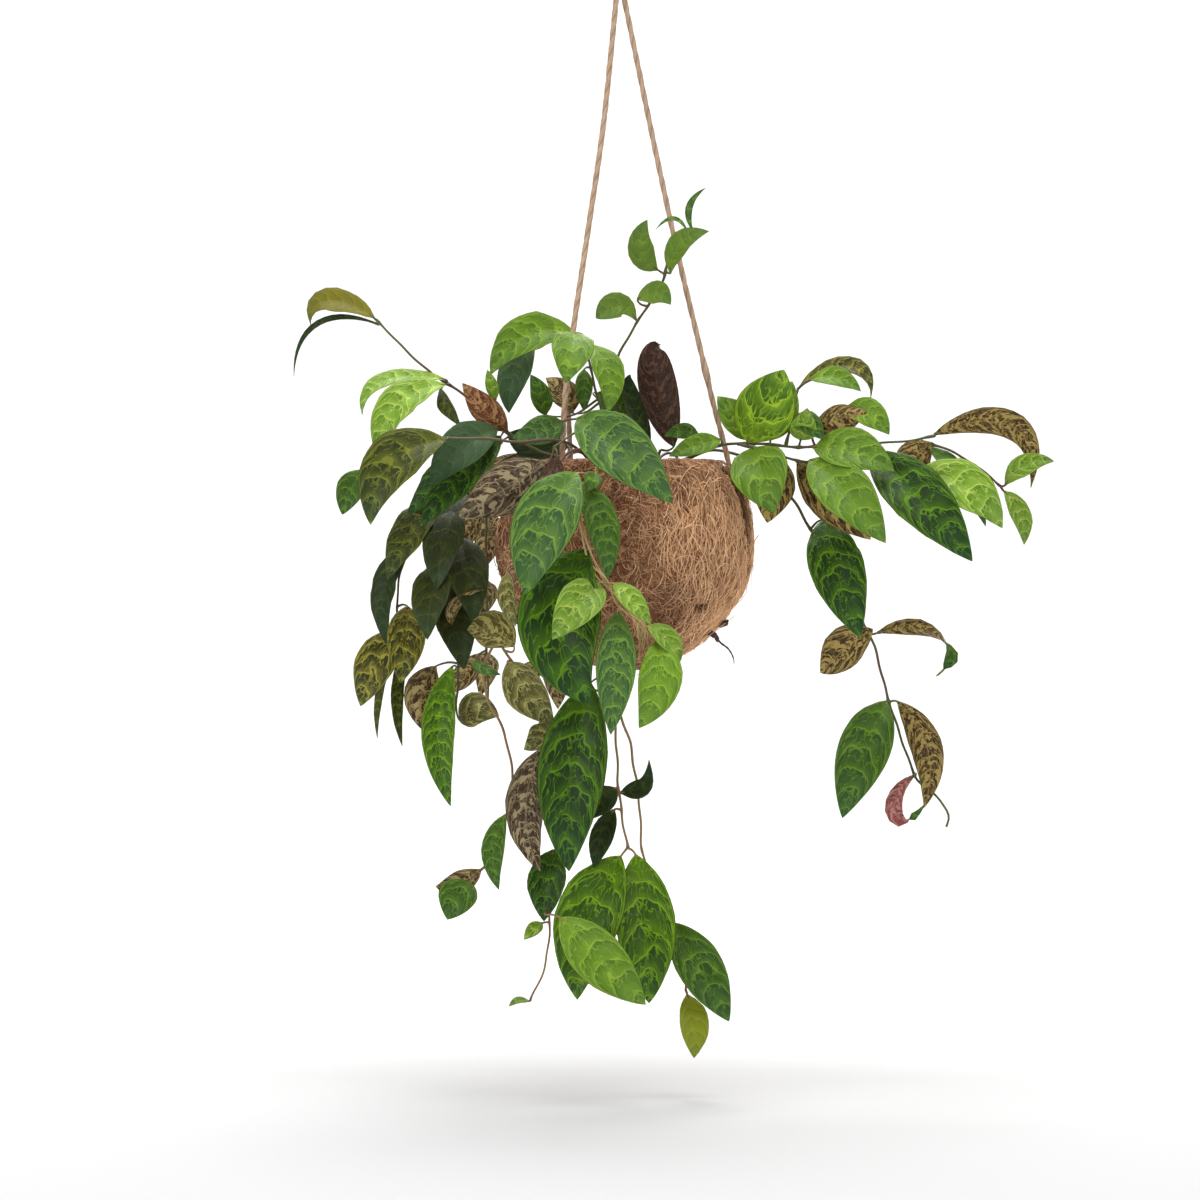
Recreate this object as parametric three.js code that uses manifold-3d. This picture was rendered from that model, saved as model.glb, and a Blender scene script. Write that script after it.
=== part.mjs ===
// A hanging kokedama: a ball of coconut fibre with soil in it, hung by three legs of twine, with
// trailing basket vines that grow out of its mouth. Millimetres, +Z up, the front faces -Y.
// The origin is where the hanging loop rests on its hook.
import * as THREE from "three";
import { mergeVertices } from "three/addons/utils/BufferGeometryUtils.js";
import Module from "manifold-3d";

const wasm = await Module();
wasm.setup();

// The ball, measured from its centre.
const BALL_RADIUS = 75;
const WALL = 9;
const MOUTH_HEIGHT = 48; // the flat cut of the mouth, above the centre
const SOIL_TOP = 43;
const SOIL_DOME = 3;
const GAP = 0.3; // between pieces that touch
const BALL_SIDES = 28;
const BALL_RINGS = 8;
const LUMP = 0.9; // how far the matted fibre stands in and out

// The twine.
const TWINE = 3.5; // diameter
const TWINE_SIDES = 8;
const TWINE_STEP = 18;
const KNOT_RADIUS = 7.3;
const KNOT_HEIGHT = 14;
const KNOT_FOOT = 330; // the knot's underside, above the ball's centre
const LOOP_HALF = 7.2; // half the loop's width, to its centreline, and the radius of its top
const HANG = [-4.2, 0, 363]; // the inside top of the loop, from the ball's centre

// The vines.
const STEM = 0.9; // radius
const STALK = 0.75; // radius of a leaf's own stalk
const STEM_SIDES = 4;
const STEM_STEP = 24;
const BLADE = 0.7; // a leaf's thickness
const FOLD = 14; // degrees by which the halves of a leaf rise from its midrib
const STATIONS = [0.1, 0.33, 0.64, 0.87]; // along a leaf, where its width is taken
const FEW_STATIONS = [0.13, 0.45, 0.8];
const LEAST_STATIONS = [0.3, 0.7];
const LONG_LEAF = 76;
const SHORT_LEAF = 37;

// Places in the tables are from the ball's centre, as seen from a viewer at this distance: one that
// lies deeper is spread away from the line of sight, which passes at AXIS_X and AXIS_Z.
const VIEWER = 2400;
const AXIS_X = -14.4;
const AXIS_Z = -34.2;

// Each leg of twine, from its hole in the ball up to the knot.
const LEGS = [
  ["twine_leg_left_front", [[-36, -34, 34], [-37, -36, 48], [-34.5, -30, 98], [-30, -25.6, 131],
    [-21.5, -18.4, 188], [-12.5, -11.2, 250], [-4.4, -3.2, 329]]],
  ["twine_leg_left_back", [[-32, 38, 34], [-32, 38, 48], [-33.6, 31.5, 98], [-30, 27.4, 131],
    [-21.5, 20, 188], [-12.5, 12.4, 250], [-4.4, 3.2, 329]]],
  ["twine_leg_right", [[67.6, 0, 22], [64.6, 0, 38], [61.6, 0, 53], [53, 0, 86], [49, 0, 103],
    [34, 0, 166], [20, 0, 230], [-0.4, 0, 329]]],
];

// Each vine is a main stem with its side stems, and leaves. A leaf's row holds its base x, y, z and
// its tip x, y, z, its width, its turn (0 shows the upper side to the front, 180 the underside, 90
// an edge), how far its middle bows out along the upper side, and how far it bows sideways. A curled
// leaf's row goes on with the place x, y, z that its tip curls round from, and its twist.
const VINES = [
  {
    name: "vine_left_high",
    stems: [[[-16, -8, 26], [-26, -11, 45], [-50, -16, 55], [-67, -20, 64], [-88, -23, 81],
      [-104, -23, 95], [-116, -22, 102], [-137, -19, 122], [-149, -17, 134]]],
    leaves: [
      [-150, -19, 135, -188, -26, 131, 18, 30, 4, 9, -190, -26, 152, 0],
      [-147, -14, 131, -198, -6, 100, 4, 15, 0, 20, -198, -6, 132, 0],
      [-107, -27, 98, -157, -40, 77, 14, 45, 0, 16, -158, -38, 100, 0],
      [-107, -28, 95, -148, -52, 51, 23, 20, 7, 11],
      [-111, -22, 90, -98, -38, 70, 12, 40, 5, -4],
      [-70, -26, 67, -97, -38, 96, 18, 165, -5, 0],
      [-77, -22, 86, -82, -26, 104, 8, 0, 2, 0],
      [-74, -26, 64, -122, -54, 10, 25, 15, 8, 0],
      [-76, -34, 68, -116, -56, 34, 26, 5, 6, 5],
      [-72, -16, 62, -130, -18, 16, 25, 32, 8, 0],
      [-34, 0, 58, -70, 2, 66, 24, 12, 4, -4],
    ],
  },
  {
    name: "vine_left_outer",
    stems: [[[-14, -24, 26], [-19, -30, 44], [-33, -50, 60], [-66, -62, 61], [-104, -62, 63],
      [-135, -58, 57], [-155, -54, 46]]],
    leaves: [
      [-107, -66, 62, -152, -84, 11, 32, 12, 8, 13],
      [-157, -50, 44, -169, -54, 17, 18, 15, 4, 0],
    ],
  },
  {
    name: "vine_left_curtain",
    stems: [[[-30, 4, 26], [-36, 4, 44], [-48, 4, 55], [-62, 4, 54], [-84, 2, 40], [-100, 0, 10],
      [-106, -4, -30], [-101, -12, -60], [-99, -20, -84]],
    [[-84, 2, 40], [-110, -2, 30], [-126, -8, 6], [-136, -8, -30], [-134, -8, -58]]],
    leaves: [
      [-128, -12, 2, -142, -20, -61, 20, 40, 8, 4],
      [-100, -10, 20, -112, -34, -28, 26, 20, 8, 0],
      [-100, -8, 4, -90, -36, -48, 26, -15, 8, 0],
      [-107, -14, -10, -118, -38, -58, 26, 25, 7, 0],
      [-94, 2, 30, -132, -14, 2, 26, 20, 6, 0],
      [-108, -2, -20, -96, -22, -76, 26, -10, 7, 0],
      [-112, -2, 26, -142, -28, -22, 24, 25, 7, 0],
      [-103, -20, -49, -84, -36, -28, 13, -120, 3, 6],
      [-136, -12, -52, -158, -24, -98, 27, 20, 6, 0],
      [-130, -14, -38, -134, -30, -84, 24, -10, 5, 0],
      [-137, -10, -60, -148, -14, -117, 8, 45, 0, 5],
      [-131, -12, -62, -133, -18, -122, 9, -30, 0, 5],
      [-113, -16, -74, -121, -30, -112, 22, 170, -3, -5],
      [-103, -26, -74, -104, -46, -158, 21, 10, 8, 6],
      [-99, -26, -106, -75, -40, -104, 22, -15, 4, -4],
    ],
  },
  {
    name: "vine_left_inner",
    stems: [[[-8, -26, 26], [-14, -32, 45], [-27, -50, 56], [-46, -72, 40], [-60, -68, 4],
      [-68, -60, -30], [-76, -52, -56], [-84, -46, -74], [-82, -45, -94], [-76, -45, -104],
      [-70, -46, -121], [-67, -46, -139], [-66, -46, -156], [-71, -46, -166], [-82, -46, -193]],
    [[-76, -52, -56], [-64, -50, -78], [-52, -50, -100], [-48, -50, -122]]],
    leaves: [
      [-70, -74, -18, -65, -90, -50, 13, 30, 4, 0],
      [-66, -64, -62, -94, -76, -52, 24, 170, 4, -4],
      [-92, -50, -71, -74, -58, -79, 7, 20, 2, 0],
      [-70, -58, -72, -42, -72, -109, 25, 10, 6, 0],
      [-45, -60, -108, -60, -66, -124, 16, 20, 3, -3],
      [-48, -54, -123, -50, -62, -197, 24, 165, 5, -9],
      [-71, -50, -163, -75, -60, -208, 15, 20, 4, 4],
      [-86, -48, -196, -113, -56, -206, 15, 165, 2, 4],
      [-93, -50, -203, -106, -58, -226, 24, 15, 5, 0],
    ],
  },
  {
    name: "vine_mouth",
    stems: [[[-4, -14, 26], [-8, -20, 46], [-14, -34, 66], [-20, -42, 74]],
      [[-14, -34, 66], [-30, -60, 66], [-42, -72, 57]]],
    leaves: [
      [-28, -52, 75, 29, -96, 24, 36, -5, 10, -2],
      [-37, -41, 73, -67, -52, 63, 19, 15, 4, -3],
      [-46, -75, 48, -99, -92, 16, 31, 175, -6, 0],
      [-40, -76, 52, -50, -90, 33, 16, 200, 3, 0],
    ],
  },
  {
    name: "vine_front",
    stems: [[[2, -26, 26], [0, -34, 46], [-7, -52, 58], [-14, -71, 53], [-18, -88, 28], [-14, -92, -10],
      [-8, -93, -28], [8, -92, -48], [16, -90, -56]]],
    leaves: [
      [-28, -94, 42, -59, -112, -31, 38, 5, 10, 5],
      [-25, -90, 36, -10, -106, -22, 20, -10, 6, -4],
      [-17, -90, 42, -22, -98, 31, 11, 0, 2, 0],
      [-15, -98, -24, -43, -128, -58, 26, 10, 7, 0],
      [-6, -100, -24, 16, -112, -49, 14, -20, 3, 0],
      [14, -94, -50, 34, -98, -71, 15, -30, 3, -2],
      [-22, -92, -4, -20, -106, -97, 50, 5, 8, 16],
      [-4, -98, -41, -8, -112, -115, 24, -5, 7, 0],
      [20, -94, -58, 9, -106, -111, 26, 0, 9, -6],
    ],
  },
  {
    name: "vine_front_long",
    stems: [[[8, -22, 26], [9, -30, 45], [7, -44, 55], [-2, -61, 52.5], [-17, -78, 29],
      [-21, -85, -10], [-14, -83, -50], [-8, -74, -90], [-5, -68, -114], [-3, -66, -150],
      [2, -64, -183]],
    [[-8, -74, -90], [-30, -58, -130], [-40, -48, -170], [-41, -44, -191], [-44, -42, -217],
      [-47, -42, -252], [-56, -42, -274]],
    [[-44, -42, -217], [-47, -62, -222], [-40, -88, -224]],
    [[-8, -74, -90], [2, -68, -114], [6, -62, -134], [9, -60, -154], [12, -58, -190],
      [22, -56, -214], [31, -54, -230], [36, -53, -250], [37, -53, -268]]],
    leaves: [
      [-20, -80, -84, -33, -84, -197, 41, 5, 9, 4],
      [-20, -74, -88, -16, -73, -160, 19, 10, 4, 0],
      [-2, -66, -150, 15, -72, -130, 12, -20, 0, 4, 17, -70, -152, 0],
      [-5, -68, -147, -22, -74, -166, 17, 20, 3, 0],
      [-6, -66, -160, -18, -72, -195, 15, 20, 4, 0],
      [-2, -66, -188, -28, -84, -274, 40, 10, 9, 6],
      [7, -63, -187, 15, -60, -276, 36, -5, 10, -1],
      [-38, -91, -225, 13, -104, -277, 31, 0, 6, 0],
      [29, -57, -228, 63, -64, -287, 28, -10, 6, 0],
      [38, -54, -271, 42, -60, -309, 19, -20, 5, 0],
      [-42, -44, -184, -48, -54, -227, 24, 15, 5, 0],
      [-49, -42, -228, -60, -48, -238, 9, 20, 2, 0],
      [-57, -42, -275, -69, -46, -278, 8, 60, 2, 0],
    ],
  },
  {
    name: "vine_top",
    stems: [[[-10, 4, 26], [-10, 4, 46], [-14, 0, 80], [-20, -6, 104], [-22, -10, 122]]],
    leaves: [
      [-29, -32, 126, -35, -60, 96, 26, 0, 6, 0],
      [-30, -6, 126, -80, -18, 101, 26, 20, 6, 10],
      [-54, 2, 119, -69, 0, 78, 21, 20, 5, 3],
      [-21, -16, 119, -10, -36, 78, 20, -20, 6, -5],
      [-24, -12, 104, -24, -20, 79, 11, 0, 3, 0],
      [-16, 16, 90, 11, 24, 72, 20, -10, 4, 0],
      [-47, -12, 77, -56, -20, 101, 14, 20, 3, 0],
      [-31, -10, 78, -47, -18, 99, 18, 165, -4, -4],
    ],
  },
  {
    name: "vine_tall",
    stems: [[[2, 8, 26], [1, 8, 46], [-4, 6, 80], [-4, 2, 109], [7, 0, 131], [16, -2, 145],
      [23, -4, 157]], [[23, -4, 157], [28, -12, 172], [38, -18, 185]]],
    leaves: [
      [7, -4, 134, -17, -12, 135, 17, 20, 0, 14, -12, -11, 137, 0],
      [8, -4, 146, 28, -20, 143, 16, -15, 0, -6],
      [20, -6, 164, 14, -12, 194, 17, 15, 3, -9],
      [28, -10, 162, 51, -26, 187, 15, -20, 3, -7],
      [41, -18, 188, 49, -22, 213, 5, 30, 0, -7],
      [38, -18, 187, 19, -14, 188, 3, 20, 0, 8],
    ],
  },
  {
    name: "vine_upright",
    stems: [[[16, -4, 26], [18, -5, 44], [22, -7, 56]]],
    leaves: [
      [30, -9, 58, 22, -20, 119, 24, 180, 4, 3, 12, -20, 121, 0],
      [14, -2, 54, 4, 2, 101, 13, 20, 3, 0, -2, 2, 96, 0],
    ],
  },
  {
    name: "vine_right_out",
    stems: [[[24, -10, 26], [29, -12, 45], [48, -15, 55], [68, -16, 60], [97, -16, 58],
      [118, -16, 58], [157, -18, 60], [187, -20, 64]],
    [[97, -16, 58], [102, -10, 76], [104, -8, 92]],
    [[178, -20, 62], [206, -24, 50], [226, -26, 34]],
    [[68, -16, 60], [90, -22, 54], [115, -24, 47], [150, -26, 44], [173, -30, 42]]],
    leaves: [
      [186, -20, 65, 244, -26, 33, 18, -160, 3, 22, 252, -26, 76, 0],
      [175, -32, 42, 227, -48, 9, 31, -22, 9, -5],
      [182, -18, 58, 217, -30, 10, 18, -40, 7, 0],
      [229, -26, 35, 258, -30, 49, 14, -20, 2, -5],
      [228, -28, 31, 240, -34, -1, 14, -20, 3, -3],
      [184, -24, 60, 165, -34, 40, 22, 170, 3, 0],
      [180, -14, 46, 188, -20, 13, 24, 165, 3, 0],
      [148, -24, 54, 209, -60, -11, 36, -12, 9, 0],
      [114, -22, 57, 162, -46, 43, 28, -20, 6, -3],
      [112, -26, 50, 157, -62, 0, 33, -10, 9, 0],
      [104, -18, 48, 148, -28, 2, 30, 168, -5, 0],
      [77, -24, 57, 90, -50, 18, 36, 5, 7, 0],
      [92, -18, 54, 86, -34, 12, 28, 172, -4, 0],
      [74, -20, 61, 96, -28, 104, 37, 5, 4, 0],
      [88, -12, 62, 101, -14, 97, 24, -10, 4, 0],
      [74, -12, 62, 56, -12, 88, 20, 20, 3, 0],
      [106, -18, 62, 110, -32, 81, 17, 0, 3, 0],
      [105, -8, 93, 148, -18, 87, 14, -35, 6, -15, 150, -18, 112, 0],
      [112, -12, 98, 142, -24, 91, 15, -30, 4, -3],
      [114, -18, 68, 146, -26, 79, 20, 165, -4, 0],
      [134, -18, 82, 159, -28, 65, 18, -10, 4, -3],
      [102, -16, 76, 120, -30, 62, 16, -20, 4, 0],
      [44, -19, 66, 24, -30, 64, 10, 0, 2, 2],
      [58, -21, 62, 27, -36, 52, 14, 20, 3, 0],
    ],
  },
  {
    name: "vine_right_low",
    stems: [[[26, 10, 26], [32, 11, 45], [50, 14, 55], [72, 14, 52], [92, 8, 38], [103, 0, 23],
      [122, -4, -8], [140, -8, -40], [151, -10, -65], [158, -12, -92], [166, -14, -116],
      [175, -14, -140], [185, -14, -150], [195, -15, -163], [193, -16, -170]]],
    leaves: [
      [120, -8, 14, 142, -38, -57, 34, -5, 9, 3],
      [149, -12, -52, 118, -28, -78, 27, 160, 4, 0],
      [152, -11, -54, 187, -24, -80, 15, 180, 3, 20, 212, -22, -66, 160],
      [157, -16, -95, 131, -38, -165, 32, 5, 9, 2],
      [164, -13, -95, 180, -20, -159, 20, 175, -4, 10],
      [175, -17, -139, 181, -22, -156, 11, 170, 0, -20, 163, -26, -182, 0],
    ],
  },
];

// The vines at the back, which hang close behind the ball: [name, angle round the ball from the
// front, how far down it reaches, how far out it hangs, seed].
const BACK_VINES = [
  ["vine_back_left", 238, 100, 98, 3],
  ["vine_back_mid_left", 210, 76, 92, 11],
  ["vine_back_mid_right", 182, 62, 94, 19],
  ["vine_back_right", 150, 24, 86, 27],
];
const BACK_FIRST = 62; // along the stem to the first pair of leaves
const BACK_SPACING = 44; // from pair to pair
const BACK_LEAF = 50; // length of a leaf
const BACK_WIDTH = 23;
const BACK_BOW = 6;

const COLOURS = {
  coir: [0x9a6a48, 0.95],
  soil: [0x2c2019, 1],
  twine: [0xb89a72, 0.9],
  leaf: [0x55752f, 0.45],
};

/** A closed geometry as a solid that can be joined and cut. */
function solidOf(geometry) {
  geometry.deleteAttribute("normal");
  geometry.deleteAttribute("uv");
  const merged = mergeVertices(geometry, 1e-4);
  const vertProperties = new Float32Array(merged.attributes.position.array);
  const triVerts = new Uint32Array(merged.index.array);
  return new wasm.Manifold(new wasm.Mesh({ numProp: 3, vertProperties, triVerts }));
}

function meshOf(name, solid, colour) {
  const { vertProperties, triVerts } = solid.getMesh();
  const geometry = new THREE.BufferGeometry();
  geometry.setAttribute("position", new THREE.BufferAttribute(new Float32Array(vertProperties), 3));
  geometry.setIndex(new THREE.BufferAttribute(new Uint32Array(triVerts), 1));
  geometry.computeVertexNormals();
  const [color, roughness] = COLOURS[colour];
  const mesh = new THREE.Mesh(geometry, new THREE.MeshStandardMaterial({ color, roughness, metalness: 0 }));
  mesh.name = name;
  return mesh;
}

/** A table's place, moved back to its depth along the viewer's line of sight. */
function spot([x, y, z]) {
  const spread = 1 + y / VIEWER;
  return new THREE.Vector3(AXIS_X + (x - AXIS_X) * spread, y, AXIS_Z + (z - AXIS_Z) * spread);
}

function tube(path, radius, sides, steps) {
  const corners = Array.from({ length: sides }, (_, k) => {
    const angle = (2 * Math.PI * k) / sides;
    return new THREE.Vector2(radius * Math.cos(angle), radius * Math.sin(angle));
  });
  const options = { steps, bevelEnabled: false, extrudePath: path };
  return solidOf(new THREE.ExtrudeGeometry(new THREE.Shape(corners), options));
}

function curveThrough(points) {
  return new THREE.CatmullRomCurve3(points, false, "centripetal");
}

/** Half a leaf's width at a share u of its length, for a width of 1: widest before its middle. */
function halfWidth(u) {
  return 0.5 * Math.sin(Math.PI * u ** 0.87) ** 0.85;
}

/** The midrib of a leaf, and the way across the blade at a share u of its length. */
function leafFrame({ base, tip, turn, bow, sweep, curl, twist }) {
  const along = tip.clone().sub(base).normalize();
  const front = new THREE.Vector3(0, -1, 0);
  const facing = front.addScaledVector(along, -front.dot(along)).normalize();
  const upper = facing.applyAxisAngle(along, THREE.MathUtils.degToRad(turn));
  const side = along.clone().cross(upper);
  const middle = base.clone().add(tip).multiplyScalar(0.5);
  middle.addScaledVector(upper, 2 * bow).addScaledVector(side, 2 * sweep);
  const [rise, fall] = [base, tip].map((end) => end.clone().lerp(middle, 2 / 3));
  const rib = new THREE.CubicBezierCurve3(base, rise, curl ?? fall, tip);
  const sideAt = (u) =>
    side.clone().applyAxisAngle(rib.getTangent(u), THREE.MathUtils.degToRad(twist * u));
  return { rib, sideAt };
}

/** Six points round a section across a leaf: its left edge, middle and right edge, above and below. */
function section(centre, ahead, side, reach, rise, thick) {
  const upper = side.clone().cross(ahead).normalize();
  const across = ahead.clone().cross(upper);
  return [1, -1].flatMap((face) => [-1, 0, 1].map((edge) =>
    centre.clone().addScaledVector(across, edge * reach)
      .addScaledVector(upper, Math.abs(edge) * rise + (face * thick) / 2)));
}

function stationsOf(length) {
  if (length < SHORT_LEAF) return LEAST_STATIONS;
  return length > LONG_LEAF ? STATIONS : FEW_STATIONS;
}

/** A leaf in one closed mesh: its stalk from the stem, and a folded blade that ends in a point. */
function leaf({ rib, sideAt }, width, root) {
  const fold = THREE.MathUtils.degToRad(FOLD);
  const [base, start] = [rib.getPoint(0), rib.getTangent(0)];
  const short = base.distanceTo(root) < STEM;
  const foot = short ? root.clone().addScaledVector(start, -STEM) : root;
  const ahead = base.clone().sub(foot).normalize().addScaledVector(start, 0.4).normalize();
  const points = [foot, base].flatMap((place) =>
    section(place, ahead, sideAt(0), STALK, 0, 1.6 * STALK));
  for (const u of stationsOf(rib.getLength())) {
    const reach = width * halfWidth(u);
    points.push(...section(rib.getPoint(u), rib.getTangent(u), sideAt(u),
      reach * Math.cos(fold), reach * Math.sin(fold), BLADE));
  }
  points.push(rib.getPoint(1));
  return solidOf(facesOf(points));
}

/** The faces over a leaf's points: round each section to the next, with a cap and a pointed end. */
function facesOf(points) {
  const ring = [0, 1, 2, 5, 4, 3];
  const last = points.length - 1;
  const index = [0, 3, 1, 1, 3, 4, 1, 4, 2, 2, 4, 5];
  for (let k = 0; k < 6; k++) {
    const [a, b] = [ring[k], ring[(k + 1) % 6]];
    for (let here = 0; here < last - 6; here += 6) {
      const next = here + 6;
      const below = k > 2 && k < 5; // the lower face is split along the same diagonals
      if (below) index.push(here + a, here + b, next + b, here + a, next + b, next + a);
      else index.push(here + a, here + b, next + a, here + b, next + b, next + a);
    }
    index.push(last, last - 6 + a, last - 6 + b);
  }
  const geometry = new THREE.BufferGeometry();
  const position = points.flatMap((p) => [p.x, p.y, p.z]);
  geometry.setAttribute("position", new THREE.Float32BufferAttribute(position, 3));
  geometry.setIndex(index);
  return geometry;
}

/** The place on the stems, as they are built, that is nearest to a leaf's base. */
function nearestOn(lines, place) {
  const spots = lines.flatMap((line) => line.slice(1).map((end, k) =>
    new THREE.Line3(line[k], end).closestPointToPoint(place, true, new THREE.Vector3())));
  return spots.reduce((best, p) => (p.distanceTo(place) < best.distanceTo(place) ? p : best));
}

function stemSteps(curve) {
  return Math.ceil(curve.getLength() / STEM_STEP);
}

/** A vine's stems and leaves in one solid, and the curve of its main stem. */
function vine(stems, leaves) {
  const curves = stems.map((points) => curveThrough(points));
  const lines = curves.map((curve) => curve.getSpacedPoints(stemSteps(curve)));
  const pieces = curves.map((curve) => tube(curve, STEM, STEM_SIDES, stemSteps(curve)));
  for (const row of leaves) {
    pieces.push(leaf(leafFrame(row), row.width, nearestOn(lines, row.base)));
  }
  return { solid: wasm.Manifold.union(pieces), root: curves[0] };
}

function frontVine({ stems, leaves }) {
  const rows = leaves.map(([bx, by, bz, tx, ty, tz, width, turn, bow, sweep, cx, cy, cz, twist = 0]) => ({
    base: spot([bx, by, bz]), tip: spot([tx, ty, tz]), width, turn, bow, sweep, twist,
    curl: cx === undefined ? undefined : spot([cx, cy, cz]),
  }));
  return vine(stems.map((points) => points.map(spot)), rows);
}

/** The same share of chance each time, between -1 and 1. */
function chance(seed) {
  const wide = Math.sin(seed * 12.9898) * 43758.5453;
  return 2 * (wide - Math.floor(wide)) - 1;
}

/** A vine that rises from the soil, bends over the rim and hangs, with its leaves in pairs. */
function backVine(angle, drop, out, seed) {
  const round = THREE.MathUtils.degToRad(angle);
  const [outX, outY] = [Math.sin(round), -Math.cos(round)];
  const at = (reach, across, z) =>
    new THREE.Vector3(outX * reach - outY * across, outY * reach + outX * across, z);
  const points = [at(30, 0, 26), at(36, 0, 45), at(54, 0, 56), at(out - 16, 0, 50), at(out, 0, 24)];
  const hung = Math.ceil((drop - 10) / 30);
  for (let k = 1; k <= hung; k++) {
    points.push(at(out + 3 * chance(seed + k), 5 * chance(seed + 40 + k), 24 - (k * (drop + 24)) / hung));
  }
  const curve = curveThrough(points);
  const length = curve.getLength();
  const leaves = [];
  for (let far = BACK_FIRST; far < length; far += BACK_SPACING) {
    const base = curve.getPointAt(far / length);
    for (const hand of [-1, 1]) {
      const mark = seed + far + hand;
      const size = BACK_LEAF * (1 + 0.18 * chance(mark)) * (0.7 + (0.3 * (length - far)) / length);
      const spread = hand * (0.42 + 0.12 * chance(mark + 7));
      const away = at(0.5 + 0.15 * chance(mark + 5), spread, -0.7).normalize();
      const foot = base.clone().add(at(0.4, hand, 0.2).multiplyScalar(4));
      const turn = 180 + 14 * chance(mark + 9);
      leaves.push({ base: foot, tip: foot.clone().addScaledVector(away, size),
        width: (BACK_WIDTH * size) / BACK_LEAF, turn, bow: BACK_BOW, sweep: 0, twist: 0 });
    }
  }
  return vine([points], leaves);
}

/** Half of a round section: an arc from angle a to b (from the axis below), as lathe points. */
function arc(radius, a, b, count) {
  return Array.from({ length: count + 1 }, (_, k) => {
    const angle = a + ((b - a) * k) / count;
    return new THREE.Vector2(radius * Math.sin(angle), -radius * Math.cos(angle));
  });
}

/** A profile turned about the vertical axis. */
function turned(profile, sides) {
  const points = profile.map((p) => new THREE.Vector2(Math.max(p.x, 0), p.y));
  points[0].x = 0;
  points[points.length - 1].x = 0;
  return new THREE.LatheGeometry(points, sides).rotateX(Math.PI / 2);
}

/** The ball's wall: matted fibre with a flat-cut mouth, and a lumpy outside. */
function coirShell(holes) {
  const inner = BALL_RADIUS - WALL;
  const outerEnd = Math.acos(-MOUTH_HEIGHT / BALL_RADIUS);
  const innerEnd = Math.acos(-MOUTH_HEIGHT / inner);
  const profile = [...arc(BALL_RADIUS, 0, outerEnd, BALL_RINGS), ...arc(inner, innerEnd, 0, BALL_RINGS)];
  const geometry = turned(profile, BALL_SIDES);
  const position = geometry.attributes.position;
  const p = new THREE.Vector3();
  for (let k = 0; k < position.count; k++) {
    p.fromBufferAttribute(position, k);
    const outside = p.length() > BALL_RADIUS - 0.1 && p.z < MOUTH_HEIGHT - 1;
    const lump = Math.sin(p.x / 11 + 1) * Math.sin(p.y / 13 + 2) + 0.6 * Math.sin(p.z / 9 + p.x / 17);
    if (outside) p.setLength(BALL_RADIUS + LUMP * lump);
    position.setXYZ(k, p.x, p.y, p.z);
  }
  return wasm.Manifold.difference([solidOf(geometry), ...holes]);
}

/** The soil that fills the ball, with a low dome and a plain hole for each stem and leg. */
function soilCore(holes) {
  const radius = BALL_RADIUS - WALL - GAP - LUMP;
  const end = Math.acos(-(SOIL_TOP - SOIL_DOME) / radius);
  const profile = [...arc(radius, 0, end, BALL_RINGS), new THREE.Vector2(0, SOIL_TOP)];
  return wasm.Manifold.difference([solidOf(turned(profile, BALL_SIDES / 2)), ...holes]);
}

function twineKnot() {
  const [r, h] = [KNOT_RADIUS, KNOT_HEIGHT];
  const profile = [[0, 0], [r - 1, 0], [r, h * 0.3], [r, h * 0.7], [r - 1, h], [0, h]];
  const geometry = turned(profile.map(([x, y]) => new THREE.Vector2(x, y)), 16);
  return solidOf(geometry.translate(HANG[0], HANG[1], KNOT_FOOT));
}

/** The loop over the hook: up from the knot, round, and down to it again. */
function twineLoop() {
  const foot = KNOT_FOOT + KNOT_HEIGHT + 3 * GAP;
  const top = HANG[2] + TWINE / 2;
  const slope = LOOP_HALF * Math.SQRT1_2;
  const bend = top - LOOP_HALF;
  const half = [[2.4, foot], [5.2, foot + 5], [LOOP_HALF, bend], [slope, bend + slope]];
  const shape = [...half.map(([x, z]) => [-x, z]), [0, top], ...half.reverse()];
  const path = curveThrough(shape.map(([x, z]) => new THREE.Vector3(HANG[0] + x, 0, z)));
  return tube(path, TWINE / 2, TWINE_SIDES, 20);
}

const legs = LEGS.map(([name, points]) => {
  const path = curveThrough(points.map(spot));
  const steps = Math.ceil(path.getLength() / TWINE_STEP);
  return { name, solid: tube(path, TWINE / 2, TWINE_SIDES, steps),
    hole: tube(path, TWINE / 2 + GAP, TWINE_SIDES, steps) };
});
const vines = [
  ...VINES.map((table) => ({ name: table.name, ...frontVine(table) })),
  ...BACK_VINES.map(([name, ...rule]) => ({ name, ...backVine(...rule) })),
];
const stemHoles = vines.map(({ root }) =>
  tube(root, STEM + GAP, STEM_SIDES, stemSteps(root)));
const legHoles = legs.map(({ hole }) => hole);

const plant = new THREE.Group();
plant.position.set(-HANG[0], -HANG[1], -HANG[2]);
plant.add(
  meshOf("coir_shell", coirShell(legHoles), "coir"),
  meshOf("soil_core", soilCore([...stemHoles, ...legHoles]), "soil"),
  ...legs.map(({ name, solid }) => meshOf(name, solid, "twine")),
  meshOf("twine_knot", twineKnot(), "twine"),
  meshOf("twine_loop", twineLoop(), "twine"),
  ...vines.map(({ name, solid }) => meshOf(name, solid, "leaf")),
);

export default plant;
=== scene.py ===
"""The looks of a hanging kokedama: a ball of coconut fibre on three legs of twine, with trailing
basket vines. Metres, +Z up, the front faces -Y, the origin is where the loop rests on its hook."""

import math

import bpy
import numpy as np
from mathutils import Matrix, Vector, noise


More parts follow.
